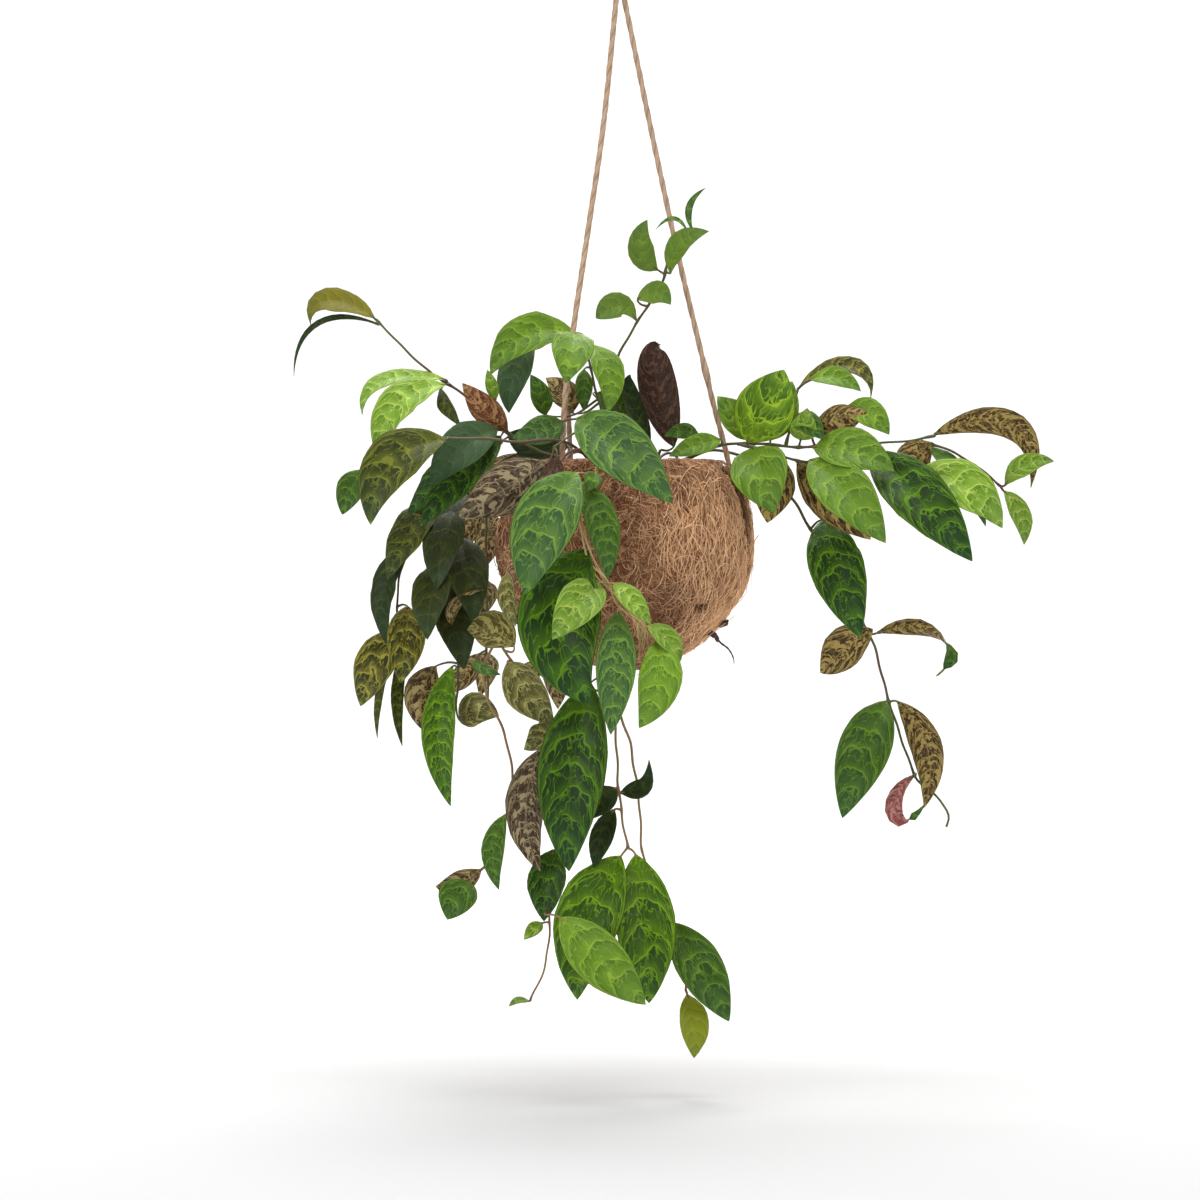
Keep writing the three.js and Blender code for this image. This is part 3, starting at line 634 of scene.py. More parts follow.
def add_vine(name, stems, rows, tones, paints, seed):
    """One vine, in place of its CAD node: stems with joints at the leaves, stalks and leaves."""
    rng = np.random.default_rng(seed)
    heap = Heap()
    lines = [respaced(curve_through(points), STEM_STEP) for points in stems]
    for which, line in enumerate(lines):
        far = lengths(line)
        radius = STEM * np.interp(far / far[-1], [0, 1], [0.9, 0.65] if which else [1.1, 0.75])
        for row in rows:
            near = np.linalg.norm(line - row[0], axis=1)
            if near.min() < NODE_REACH:
                from_node = (far - far[near.argmin()]) / NODE_LENGTH
                radius = radius * (1 + 0.32 * np.exp(-(from_node**2)))
        wobble = np.stack([np.sin(far * 260 + seed), 0 * far, np.cos(far * 190 + seed)], -1)
        line = line + STEM_WOBBLE * wobble
        add_stem(heap, line, radius)
    for row, tone in zip(rows, tones):
        rib, ahead = add_leaf(heap, row, tone, rng)
        root = nearest_on(lines, row[0])
        gap = np.linalg.norm(row[0] - root)
        if gap > STEM / 2:
            bend = [root, root + 0.5 * (row[0] - root) - 0.18 * gap * ahead[0], row[0], rib[2]]
            stalk = respaced(curve_through(bend, 8), STALK_STEP)
            add_stem(heap, stalk, np.linspace(STALK * 1.1, STALK * 0.62, len(stalk)), 6)
    heap.build(name.replace("vine", "leafy"), paints, "leaf", name)


# Each vine has a letter for each of its leaves, which UPPER and UNDER explain, its stems, of which
# the first is the main one, and its leaves, in millimetres from the ball's centre. A leaf's row
# holds its base x, y, z and its tip x, y, z, its width, its turn (0 shows the upper side to the
# front, 180 the underside, 90 an edge), how far its middle bows out along the upper side, and how
# far it bows sideways. A curled leaf's row goes on with the place x, y, z that its tip curls round
# from, and its twist.
VINES = {
  "vine_left_high": ("AKLLOtLDCDK", [
    [[-16, -8, 26], [-26, -11, 45], [-50, -16, 55], [-67, -20, 64], [-88, -23, 81],
     [-104, -23, 95], [-116, -22, 102], [-137, -19, 122], [-149, -17, 134]],
  ], [
    [-150, -19, 135, -188, -26, 131, 18, 30, 4, 9, -190, -26, 152, 0],
    [-147, -14, 131, -198, -6, 100, 4, 15, 0, 20, -198, -6, 132, 0],
    [-107, -27, 98, -157, -40, 77, 14, 45, 0, 16, -158, -38, 100, 0],
    [-107, -28, 95, -148, -52, 51, 23, 20, 7, 11],
    [-111, -22, 90, -98, -38, 70, 12, 40, 5, -4],
    [-70, -26, 67, -97, -38, 96, 18, 165, -5, 0],
    [-77, -22, 86, -82, -26, 104, 8, 0, 2, 0],
    [-74, -26, 64, -122, -54, 10, 25, 15, 8, 0],
    [-76, -34, 68, -116, -56, 34, 26, 5, 6, 5],
    [-72, -16, 62, -130, -18, 16, 25, 32, 8, 0],
    [-34, 0, 58, -70, 2, 66, 24, 12, 4, -4],
  ]),
  "vine_left_outer": ("OG", [
    [[-14, -24, 26], [-19, -30, 44], [-33, -50, 60], [-66, -62, 61], [-104, -62, 63],
     [-135, -58, 57], [-155, -54, 46]],
  ], [
    [-107, -66, 62, -152, -84, 11, 32, 12, 8, 13],
    [-157, -50, 44, -169, -54, 17, 18, 15, 4, 0],
  ]),
  "vine_left_curtain": ("KQQQQQOKVVOOuEM", [
    [[-30, 4, 26], [-36, 4, 44], [-48, 4, 55], [-62, 4, 54], [-84, 2, 40], [-100, 0, 10],
     [-106, -4, -30], [-101, -12, -60], [-99, -20, -84]],
    [[-84, 2, 40], [-110, -2, 30], [-126, -8, 6], [-136, -8, -30], [-134, -8, -58]],
  ], [
    [-128, -12, 2, -142, -20, -61, 20, 40, 8, 4],
    [-100, -10, 20, -112, -34, -28, 26, 20, 8, 0],
    [-100, -8, 4, -90, -36, -48, 26, -15, 8, 0],
    [-107, -14, -10, -118, -38, -58, 26, 25, 7, 0],
    [-94, 2, 30, -132, -14, 2, 26, 20, 6, 0],
    [-108, -2, -20, -96, -22, -76, 26, -10, 7, 0],
    [-112, -2, 26, -142, -28, -22, 24, 25, 7, 0],
    [-103, -20, -49, -84, -36, -28, 13, -120, 3, 6],
    [-136, -12, -52, -158, -24, -98, 27, 20, 6, 0],
    [-130, -14, -38, -134, -30, -84, 24, -10, 5, 0],
    [-137, -10, -60, -148, -14, -117, 8, 45, 0, 5],
    [-131, -12, -62, -133, -18, -122, 9, -30, 0, 5],
    [-113, -16, -74, -121, -30, -112, 22, 170, -3, -5],
    [-103, -26, -74, -104, -46, -158, 21, 10, 8, 6],
    [-99, -26, -106, -75, -40, -104, 22, -15, 4, -4],
  ]),
  "vine_left_inner": ("MmBMMwGuG", [
    [[-8, -26, 26], [-14, -32, 45], [-27, -50, 56], [-46, -72, 40], [-60, -68, 4],
     [-68, -60, -30], [-76, -52, -56], [-84, -46, -74], [-82, -45, -94], [-76, -45, -104],
     [-70, -46, -121], [-67, -46, -139], [-66, -46, -156], [-71, -46, -166], [-82, -46, -193]],
    [[-76, -52, -56], [-64, -50, -78], [-52, -50, -100], [-48, -50, -122]],
  ], [
    [-70, -74, -18, -65, -90, -50, 13, 30, 4, 0],
    [-66, -64, -62, -94, -76, -52, 24, 170, 4, -4],
    [-92, -50, -71, -74, -58, -79, 7, 20, 2, 0],
    [-70, -58, -72, -42, -72, -109, 25, 10, 6, 0],
    [-45, -60, -108, -60, -66, -124, 16, 20, 3, -3],
    [-48, -54, -123, -50, -62, -197, 24, 165, 5, -9],
    [-71, -50, -163, -75, -60, -208, 15, 20, 4, 4],
    [-86, -48, -196, -113, -56, -206, 15, 165, 2, 4],
    [-93, -50, -203, -106, -58, -226, 24, 15, 5, 0],
  ]),
  "vine_mouth": ("BBwn", [
    [[-4, -14, 26], [-8, -20, 46], [-14, -34, 66], [-20, -42, 74]],
    [[-14, -34, 66], [-30, -60, 66], [-42, -72, 57]],
  ], [
    [-28, -52, 75, 29, -96, 24, 36, -5, 10, -2],
    [-37, -41, 73, -67, -52, 63, 19, 15, 4, -3],
    [-46, -75, 48, -99, -92, 16, 31, 175, -6, 0],
    [-40, -76, 52, -50, -90, 33, 16, 200, 3, 0],
  ]),
  "vine_front": ("BGGLLLDBP", [
    [[2, -26, 26], [0, -34, 46], [-7, -52, 58], [-14, -71, 53], [-18, -88, 28], [-14, -92, -10],
     [-8, -93, -28], [8, -92, -48], [16, -90, -56]],
  ], [
    [-28, -94, 42, -59, -112, -31, 38, 5, 10, 5],
    [-25, -90, 36, -10, -106, -22, 20, -10, 6, -4],
    [-17, -90, 42, -22, -98, 31, 11, 0, 2, 0],
    [-15, -98, -24, -43, -128, -58, 26, 10, 7, 0],
    [-6, -100, -24, 16, -112, -49, 14, -20, 3, 0],
    [14, -94, -50, 34, -98, -71, 15, -30, 3, -2],
    [-22, -92, -4, -20, -106, -97, 50, 5, 8, 16],
    [-4, -98, -41, -8, -112, -115, 24, -5, 7, 0],
    [20, -94, -58, 9, -106, -111, 26, 0, 9, -6],
  ]),
  "vine_front_long": ("DGKKKEEPGYDLL", [
    [[8, -22, 26], [9, -30, 45], [7, -44, 55], [-2, -61, 52.5], [-17, -78, 29], [-21, -85, -10],
     [-14, -83, -50], [-8, -74, -90], [-5, -68, -114], [-3, -66, -150], [2, -64, -183]],
    [[-8, -74, -90], [-30, -58, -130], [-40, -48, -170], [-41, -44, -191], [-44, -42, -217],
     [-47, -42, -252], [-56, -42, -274]],
    [[-44, -42, -217], [-47, -62, -222], [-40, -88, -224]],
    [[-8, -74, -90], [2, -68, -114], [6, -62, -134], [9, -60, -154], [12, -58, -190],
     [22, -56, -214], [31, -54, -230], [36, -53, -250], [37, -53, -268]],
  ], [
    [-20, -80, -84, -33, -84, -197, 41, 5, 9, 4],
    [-20, -74, -88, -16, -73, -160, 19, 10, 4, 0],
    [-2, -66, -150, 15, -72, -130, 12, -20, 0, 4, 17, -70, -152, 0],
    [-5, -68, -147, -22, -74, -166, 17, 20, 3, 0],
    [-6, -66, -160, -18, -72, -195, 15, 20, 4, 0],
    [-2, -66, -188, -28, -84, -274, 40, 10, 9, 6],
    [7, -63, -187, 15, -60, -276, 36, -5, 10, -1],
    [-38, -91, -225, 13, -104, -277, 31, 0, 6, 0],
    [29, -57, -228, 63, -64, -287, 28, -10, 6, 0],
    [38, -54, -271, 42, -60, -309, 19, -20, 5, 0],
    [-42, -44, -184, -48, -54, -227, 24, 15, 5, 0],
    [-49, -42, -228, -60, -48, -238, 9, 20, 2, 0],
    [-57, -42, -275, -69, -46, -278, 8, 60, 2, 0],
  ]),
  "vine_top": ("PPCPGGGu", [
    [[-10, 4, 26], [-10, 4, 46], [-14, 0, 80], [-20, -6, 104], [-22, -10, 122]],
  ], [
    [-29, -32, 126, -35, -60, 96, 26, 0, 6, 0],
    [-30, -6, 126, -80, -18, 101, 26, 20, 6, 10],
    [-54, 2, 119, -69, 0, 78, 21, 20, 5, 3],
    [-21, -16, 119, -10, -36, 78, 20, -20, 6, -5],
    [-24, -12, 104, -24, -20, 79, 11, 0, 3, 0],
    [-16, 16, 90, 11, 24, 72, 20, -10, 4, 0],
    [-47, -12, 77, -56, -20, 101, 14, 20, 3, 0],
    [-31, -10, 78, -47, -18, 99, 18, 165, -4, -4],
  ]),
  "vine_tall": ("SSSSBB", [
    [[2, 8, 26], [1, 8, 46], [-4, 6, 80], [-4, 2, 109], [7, 0, 131], [16, -2, 145],
     [23, -4, 157]],
    [[23, -4, 157], [28, -12, 172], [38, -18, 185]],
  ], [
    [7, -4, 134, -17, -12, 135, 17, 20, 0, 14, -12, -11, 137, 0],
    [8, -4, 146, 28, -20, 143, 16, -15, 0, -6],
    [20, -6, 164, 14, -12, 194, 17, 15, 3, -9],
    [28, -10, 162, 51, -26, 187, 15, -20, 3, -7],
    [41, -18, 188, 49, -22, 213, 5, 30, 0, -7],
    [38, -18, 187, 19, -14, 188, 3, 20, 0, 8],
  ]),
  "vine_upright": ("nK", [
    [[16, -4, 26], [18, -5, 44], [22, -7, 56]],
  ], [
    [30, -9, 58, 22, -20, 119, 24, 180, 4, 3, 12, -20, 121, 0],
    [14, -2, 54, 4, 2, 101, 13, 20, 3, 0, -2, 2, 96, 0],
  ]),
  "vine_right_out": ("yLGLLyyDPPyPyXPPLVPyPGGP", [
    [[24, -10, 26], [29, -12, 45], [48, -15, 55], [68, -16, 60], [97, -16, 58], [118, -16, 58],
     [157, -18, 60], [187, -20, 64]],
    [[97, -16, 58], [102, -10, 76], [104, -8, 92]],
    [[178, -20, 62], [206, -24, 50], [226, -26, 34]],
    [[68, -16, 60], [90, -22, 54], [115, -24, 47], [150, -26, 44], [173, -30, 42]],
  ], [
    [186, -20, 65, 244, -26, 33, 18, -160, 3, 22, 252, -26, 76, 0],
    [175, -32, 42, 227, -48, 9, 31, -22, 9, -5],
    [182, -18, 58, 217, -30, 10, 18, -40, 7, 0],
    [229, -26, 35, 258, -30, 49, 14, -20, 2, -5],
    [228, -28, 31, 240, -34, -1, 14, -20, 3, -3],
    [184, -24, 60, 165, -34, 40, 22, 170, 3, 0],
    [180, -14, 46, 188, -20, 13, 24, 165, 3, 0],
    [148, -24, 54, 209, -60, -11, 36, -12, 9, 0],
    [114, -22, 57, 162, -46, 43, 28, -20, 6, -3],
    [112, -26, 50, 157, -62, 0, 33, -10, 9, 0],
    [104, -18, 48, 148, -28, 2, 30, 168, -5, 0],
    [77, -24, 57, 90, -50, 18, 36, 5, 7, 0],
    [92, -18, 54, 86, -34, 12, 28, 172, -4, 0],
    [74, -20, 61, 96, -28, 104, 37, 5, 4, 0],
    [88, -12, 62, 101, -14, 97, 24, -10, 4, 0],
    [74, -12, 62, 56, -12, 88, 20, 20, 3, 0],
    [106, -18, 62, 110, -32, 81, 17, 0, 3, 0],
    [105, -8, 93, 148, -18, 87, 14, -35, 6, -15, 150, -18, 112, 0],
    [112, -12, 98, 142, -24, 91, 15, -30, 4, -3],
    [114, -18, 68, 146, -26, 79, 20, 165, -4, 0],
    [134, -18, 82, 159, -28, 65, 18, -10, 4, -3],
    [102, -16, 76, 120, -30, 62, 16, -20, 4, 0],
    [44, -19, 66, 24, -30, 64, 10, 0, 2, 2],
    [58, -21, 62, 27, -36, 52, 14, 20, 3, 0],
  ]),
  "vine_right_low": ("DyyGyr", [
    [[26, 10, 26], [32, 11, 45], [50, 14, 55], [72, 14, 52], [92, 8, 38], [103, 0, 23],
     [122, -4, -8], [140, -8, -40], [151, -10, -65], [158, -12, -92], [166, -14, -116],
     [175, -14, -140], [185, -14, -150], [195, -15, -163], [193, -16, -170]],
  ], [
    [120, -8, 14, 142, -38, -57, 34, -5, 9, 3],
    [149, -12, -52, 118, -28, -78, 27, 160, 4, 0],
    [152, -11, -54, 187, -24, -80, 15, 180, 3, 20, 212, -22, -66, 160],
    [157, -16, -95, 131, -38, -165, 32, 5, 9, 2],
    [164, -13, -95, 180, -20, -159, 20, 175, -4, 10],
    [175, -17, -139, 181, -22, -156, 11, 170, 0, -20, 163, -26, -182, 0],
  ]),
}

# The vines at the back, which hang close behind the ball: the angle round the ball from the front,
# how far down each reaches, how far out it hangs, and its seed.
BACK_VINES = {
    "vine_back_left": (238, 100, 98, 3),
    "vine_back_mid_left": (210, 76, 92, 11),
    "vine_back_mid_right": (182, 62, 94, 19),
    "vine_back_right": (150, 24, 86, 27),
}
BACK_FIRST = 62  # along the stem to the first pair of leaves
BACK_SPACING = 44  # from pair to pair
BACK_LEAF = 50  # length of a leaf
BACK_WIDTH = 23
BACK_BOW = 6
BACK_TONES = "GDPGODGP" * 4
# The paint of a vine's stems, where it isn't green.
STEM_PAINT = {"vine_front": "dry", "vine_front_long": "tan", "vine_left_inner": "tan"}


def chance(seed):
    """The same share of chance each time, between -1 and 1."""
    wide = math.sin(seed * 12.9898) * 43758.5453
    return 2 * (wide - math.floor(wide)) - 1


def back_vine(angle, drop, out, seed):
    """The stem and the leaves of a vine that bends over the rim and hangs, with leaves in pairs."""
    turn = math.radians(angle)
    out_x, out_y = math.sin(turn), -math.cos(turn)

    def at(reach, across, z):
        return np.array([out_x * reach - out_y * across, out_y * reach + out_x * across, z])

    points = [at(30, 0, 26), at(36, 0, 45), at(54, 0, 56), at(out - 16, 0, 50), at(out, 0, 24)]
    hung = math.ceil((drop - 10) / 30)
    for k in range(1, hung + 1):
        shift = out + 3 * chance(seed + k)
        points.append(at(shift, 5 * chance(seed + 40 + k), 24 - k * (drop + 24) / hung))
    line = curve_through(points)
    length = lengths(line)[-1]
    rows = []
    for far in range(BACK_FIRST, math.ceil(length), BACK_SPACING):
        base = at_length(line, far)
        for hand in (-1, 1):
            mark = seed + far + hand
            size = BACK_LEAF * (1 + 0.18 * chance(mark)) * (0.7 + 0.3 * (length - far) / length)
            spread = hand * (0.42 + 0.12 * chance(mark + 7))
            away = unit(at(0.5 + 0.15 * chance(mark + 5), spread, -0.7))
            foot = base + 4 * at(0.4, hand, 0.2)
            tip = foot + away * size
            facing = 180 + 14 * chance(mark + 9)
            width = BACK_WIDTH * size / BACK_LEAF
            rows.append((foot * MM, tip * MM, width * MM, facing, BACK_BOW * MM, 0, None, 0))
    return [np.array(points) * MM], rows


def front_row(row):
    """A leaf's row of the table in metres, with its places where they are seen."""
    width, turn, bow, sweep = row[6:10]
    curl, twist = (spot(row[10:13]), row[13]) if row[10:] else (None, 0)
    return spot(row[:3]), spot(row[3:6]), width * MM, turn, bow * MM, sweep * MM, curl, twist


def add_vines():
    leaf = [upper_paint(), under_paint()]
    paints = {
        "green": stem_paint("stem_green", rgb(86, 92, 44), rgb(92, 66, 46)),
        "tan": stem_paint("stem_tan", rgb(150, 122, 78), rgb(128, 92, 64)),
        "dry": stem_paint("stem_dry", rgb(196, 184, 112), rgb(186, 152, 104)),
    }
    for count, (name, (tones, stems, rows)) in enumerate(VINES.items()):
        stems = [[spot(p) for p in points] for points in stems]
        paint = paints[STEM_PAINT.get(name, "green")]
        add_vine(name, stems, [front_row(row) for row in rows], tones, [paint, *leaf], 100 + count)
    for name, rule in BACK_VINES.items():
        add_vine(name, *back_vine(*rule), BACK_TONES, [paints["green"], *leaf], rule[-1])


# --- the ball -----------------------------------------------------------------------------------

LUMP = 0.0009
TUFT = 0.0004
CRACK_DEPTH = 0.0022
RIM_ROUND = 0.0015  # how far below the mouth the rim starts to round
FIBRES = 5600  # in each of the two coats of fibre
FIBRE_STEPS = 6
STRAYS = 0.05  # the share of the fibres that stand off
RIM_FIBRES = 500
SOIL_GAP = 0.0012
SOIL_RISE = 0.003
CRUMBS = 420
CRUMB_REACH = 0.043
CRUMB_DEPTH = 0.0022
ROOT_STEP = 0.001
SEAM = -0.0225  # the edge of the front sheet of fibre, in y
SEAM_WIDTH = 0.0036
SEAM_LIFT = 0.0020
SEAM_FOOT = 0.006  # the seam opens above this height
SEAM_SIDE = 0.036  # and to the right of this
# A small hole in the fibre: dented, and painted nearly black as shade.
HOLE = (0.045, -0.046, -0.0386)
HOLE_RADIUS = 0.0022
WORN = (0.026, -0.058, -0.038)  # the middle of a darker patch
WORN_RADIUS = 0.015
COMBED = (0.022, 0.042)  # from here to here, in x, the fibres turn upright
COMBED_REACH = 0.020  # how much further left it starts halfway up
COMBED_HALF = 0.018
COMBED_TOP = (0.020, 0.034)  # the heights at which it ends


def coir_paint():
    """Matted coconut fibre under the loose fibres: reddish tan, streaked and pitted, with painted
    shade in the seam's groove and in the hole.
    """
    paint = Paint("coir")
    place = paint.place()
    swirl = paint.noise(place, 40.0, 2.0, out=1)
    bent = paint.add("ShaderNodeVectorMath", {0: place, 1: paint.add("ShaderNodeVectorMath", {
        0: swirl, "Scale": 0.03}, operation="SCALE")}, operation="ADD")
    threads = paint.noise(bent, 900.0, 3.0, 0.6)
    tufts = paint.noise(bent, 160.0, 3.0, 0.6)
    patch = paint.noise(place, 22.0, 2.0)
    colour = paint.mix(paint.ramp(threads, 0.38, 0.62), rgb(92, 54, 32), rgb(210, 156, 110))
    colour = paint.mix(paint.ramp(tufts, 0.42, 0.62, (0.0, 0.6)), colour, rgb(106, 62, 38))
    colour = paint.mix(paint.ramp(patch, 0.5, 0.66, (0.0, 0.4)), colour, rgb(118, 66, 40))
    worn = paint.sum("MULTIPLY", paint.value("wear", "X"), 0.5)
    colour = paint.mix(worn, colour, rgb(84, 42, 28))
    colour = paint.mix(paint.value("wear", "Z"), colour, rgb(204, 160, 120))
    # Painted shade: the seam's groove and the hole are painted nearly black.
    colour = paint.mix(paint.value("wear", "Y"), colour, rgb(34, 20, 14))
    bump = paint.bump(tufts, 0.002, 0.7, paint.bump(threads, 0.0008, 0.8))
    return paint.finish(Base_Color=colour, Roughness=0.95, Normal=bump)


def soil_paint():
    paint = Paint("soil")
    grain = paint.noise(paint.place(), 260.0, 5.0, 0.65)
    colour = paint.mix(paint.ramp(grain, 0.35, 0.7), rgb(30, 22, 18), rgb(74, 56, 42))
    return paint.finish(Base_Color=colour, Roughness=0.97, Normal=paint.bump(grain, 0.002))


def step_up(value, at, width):
    """Turns smoothly from 0 to 1 where the value passes a place."""
    return 1 / (1 + np.exp(-(value - at) / width))


def wear(points):
    """How worn, how cracked, how combed and how near a sheet's edge the ball is in the direction of
    each point, from 0 to 1. The crack (the seam's groove and the hole) is painted nearly black as
    shade, and the combed fibres are painted lighter, partly as painted light on that side."""
    p = unit(points) * BALL_RADIUS
    behind = (p[:, 1] - SEAM) / SEAM_WIDTH
    opened = step_up(p[:, 0], SEAM_SIDE, 0.003) * step_up(p[:, 2], SEAM_FOOT, 0.004)
    crack = opened * np.exp(-((behind - 1) ** 2) * 1.6)
    edge = opened * np.exp(-((behind + 0.3) ** 2) * 9)
    hole = np.linalg.norm((p - HOLE) * (0.6, 1, 1.4), axis=1) / HOLE_RADIUS
    dark = np.exp(-((np.linalg.norm(p - WORN, axis=1) / WORN_RADIUS) ** 2))
    start = COMBED[0] - COMBED_REACH * np.exp(-(((p[:, 2] + 0.002) / COMBED_HALF) ** 2))
    combed = np.clip((p[:, 0] - start) / (COMBED[1] - COMBED[0]), 0, 1)
    combed *= np.interp(p[:, 2], COMBED_TOP, [1, 0.2])
    return dark, np.maximum(crack, np.clip(2 - hole, 0, 1)), combed, edge


def surface_radius(points):
    """How far the fibre's face is from the ball's centre, in the direction of each point."""
    p = unit(points) * BALL_RADIUS
    x, y, z = (p / MM).T
    lump = np.sin(x / 11 + 1) * np.sin(y / 13 + 2) + 0.6 * np.sin(z / 9 + x / 17)
    tuft = np.sin(x / 3.1 + 2 * np.sin(z / 4)) * np.sin(z / 2.7 + np.sin(y / 3.3))
    tuft = tuft * np.sin(y / 3.9 + 1)
    right = step_up(x, 34, 4) * step_up(z, -14, 5)
    behind = (p[:, 1] - SEAM) / SEAM_WIDTH
    sheet = right * SEAM_LIFT * np.clip(behind - 1, 0, 1) * np.exp(-(behind - 2).clip(0) / 9)
    return BALL_RADIUS + LUMP * lump + TUFT * tuft + sheet - CRACK_DEPTH * wear(points)[1]


def lathe(profile, sides):
    """Points and faces of a profile, from pole to pole, turned about the vertical axis."""
    rings = profile[1:-1, :, None]
    x, y = circle(turned(sides)).T
    points = np.stack([rings[:, 0] * x, rings[:, 0] * y, rings[:, 1] + 0 * x], -1).reshape(-1, 3)
    faces = quads(len(rings), sides).tolist()
    low, high, last = len(points), len(points) + 1, (len(rings) - 1) * sides
    points = np.vstack([points, [0, 0, profile[0][1]], [0, 0, profile[-1][1]]])
    faces += [[low, (i + 1) % sides, i] for i in range(sides)]
    faces += [[high, last + i, last + (i + 1) % sides] for i in range(sides)]
    return points, faces


def arc(radius, start, end, count):
    angle = np.linspace(start, end, count)
    return np.stack([radius * np.sin(angle), -radius * np.cos(angle)], -1)


def add_shell():
    """The ball's wall, with a lumpy outside, a softly rounded rim and a smooth inside."""
    inner = BALL_RADIUS - WALL
    outer_end = math.acos(-(MOUTH_HEIGHT - RIM_ROUND) / BALL_RADIUS)
    inner_end = math.acos(-(MOUTH_HEIGHT - RIM_ROUND) / inner)
    rim_out = BALL_RADIUS * math.sin(outer_end) - 0.001
    rim_in = inner * math.sin(inner_end) + 0.001
    rim = np.linspace([rim_out, MOUTH_HEIGHT], [rim_in, MOUTH_HEIGHT], 8)
    profile = np.vstack([arc(BALL_RADIUS, 0, outer_end, 110), rim, arc(inner, inner_end, 0, 30)])
    points, faces = lathe(profile, 200)
    outside = np.linalg.norm(points, axis=1) > BALL_RADIUS - 0.0002
    fade = np.clip((MOUTH_HEIGHT - points[:, 2]) / 0.006, 0, 1)
    reach = surface_radius(points) - BALL_RADIUS
    points = points + outside[:, None] * unit(points) * (reach * fade)[:, None]
    dark, crack, _, edge = wear(points)
    heap = Heap()
    heap.add(points, faces, wear=np.stack([dark, crack * outside, edge], -1))
    heap.build("coir_wall", [coir_paint()], "coir", "coir_shell")


def strands(lines, normals, radius, shade):
    """Many three-sided fibres at once: lines is (fibre, step, place)."""
    many, steps = lines.shape[:2]
    tangent = unit(np.gradient(lines, axis=1))
    side = unit(np.cross(tangent, normals))
    across = np.stack([side, np.cross(side, tangent)], 2)
    taper = np.interp(np.linspace(0, 1, steps), [0, 0.15, 0.85, 1], [0.4, 1, 1, 0.3])
    reach = radius[:, None, None, None] * taper[:, None, None]
    points = lines[:, :, None] + reach * (circle(turned(3)) @ across)
    first = np.arange(many)[:, None] * steps * 3
    last = first + (steps - 1) * 3
    faces = (first[..., None] + quads(steps, 3)).reshape(-1, 4).tolist()
    faces += (first + [2, 1, 0]).tolist() + (last + [0, 1, 2]).tolist()
    value = np.repeat(np.broadcast_to(shade.reshape(many, -1), (many, steps)), 3)
    return points.reshape(-1, 3), faces, np.stack([value, 0 * value, 0 * value], -1)


def two_noises(points, wide, fine, share):
    """A wide noise at each point, and on it a share of a finer one."""
    def at(scale):
        return np.array([noise.noise(Vector(p) * scale) for p in points])
    return at(wide) + share * at(fine)


def add_fibres():
    """Two coats of curled fibres over the ball, some of which stand off, and fibres on its rim.
    They lie every way at the front and the back, and are combed up and down at the right, where
    they are painted lighter, partly as painted light."""
    fuzz = fuzz_paint("coir_fibre", rgb(124, 74, 44), rgb(255, 210, 162))
    rng = np.random.default_rng(21)
    for coat in range(2):
        heading = unit(rng.normal(size=(FIBRES * 2, 3)))
        _, crack, combed, _ = wear(heading)
        kept = (heading[:, 2] < MOUTH_HEIGHT / BALL_RADIUS - 0.01) & (crack < 0.4)
        heading, combed = heading[kept][:FIBRES], combed[kept][:FIBRES]
        many = len(heading)
        way = unit(np.cross(heading, rng.normal(size=(many, 3))))
        upward = unit([0, 0, 1.0] - heading * heading[:, 2:]) * np.sign(way[:, 2:])
        way = unit(way + 2.4 * combed[:, None] * upward)
        long = rng.gamma(3.0, 0.0033, many).clip(0.004, 0.024) * (1 + 0.5 * combed)
        curl = rng.normal(0, 135, many) * (1 - 0.7 * combed)
        lift = 0.0003 + 0.0009 * coat + 0.0007 * rng.uniform(size=many)
        stray = (rng.uniform(size=many) < STRAYS) * rng.uniform(0.001, 0.0055, many)
        tone = two_noises(heading, 4, 11, 0.6)
        # The combed fibres at the right are painted lighter: partly their own paler colour, partly
        # painted light for the light that falls on that side.
        shade = rng.beta(1.2, 1.4, many) + 0.4 * tone + 0.55 * combed - 0.1 * (1 - coat)
        place, lines, shades = heading, [], []
        step = long / (FIBRE_STEPS - 1)
        for share in np.linspace(0, 1, FIBRE_STEPS):
            arch = lift * math.sin(math.pi * share) + stray * share**2 - 0.0002
            lines.append(place * (surface_radius(place) + arch)[:, None])
            dark, crack, _, edge = wear(place)
            # Painted shade: fibres that run down into the seam's groove or the hole are darkened.
            shades.append((shade * (1 - 0.5 * dark) + 0.4 * edge - 1.4 * crack).clip(0, 1))
            way = unit(way + np.cross(place, way) * (curl * step)[:, None])
            place = unit(place + way * (step / BALL_RADIUS)[:, None])
            way = unit(way - place * np.sum(way * place, axis=1, keepdims=True))
        lines = np.stack(lines, 1)
        lines[..., 2] = np.minimum(lines[..., 2], MOUTH_HEIGHT + 0.0012)
        radius = rng.uniform(0.00010, 0.00030, many)
        points, faces, value = strands(lines, unit(lines), radius, np.stack(shades, 1))
        heap = Heap()
        heap.add(points, faces, shade=value)
        if coat:
            add_rim_fibres(heap, rng)
        heap.build(f"coir_fibre_{coat + 1}", [fuzz], "coir")


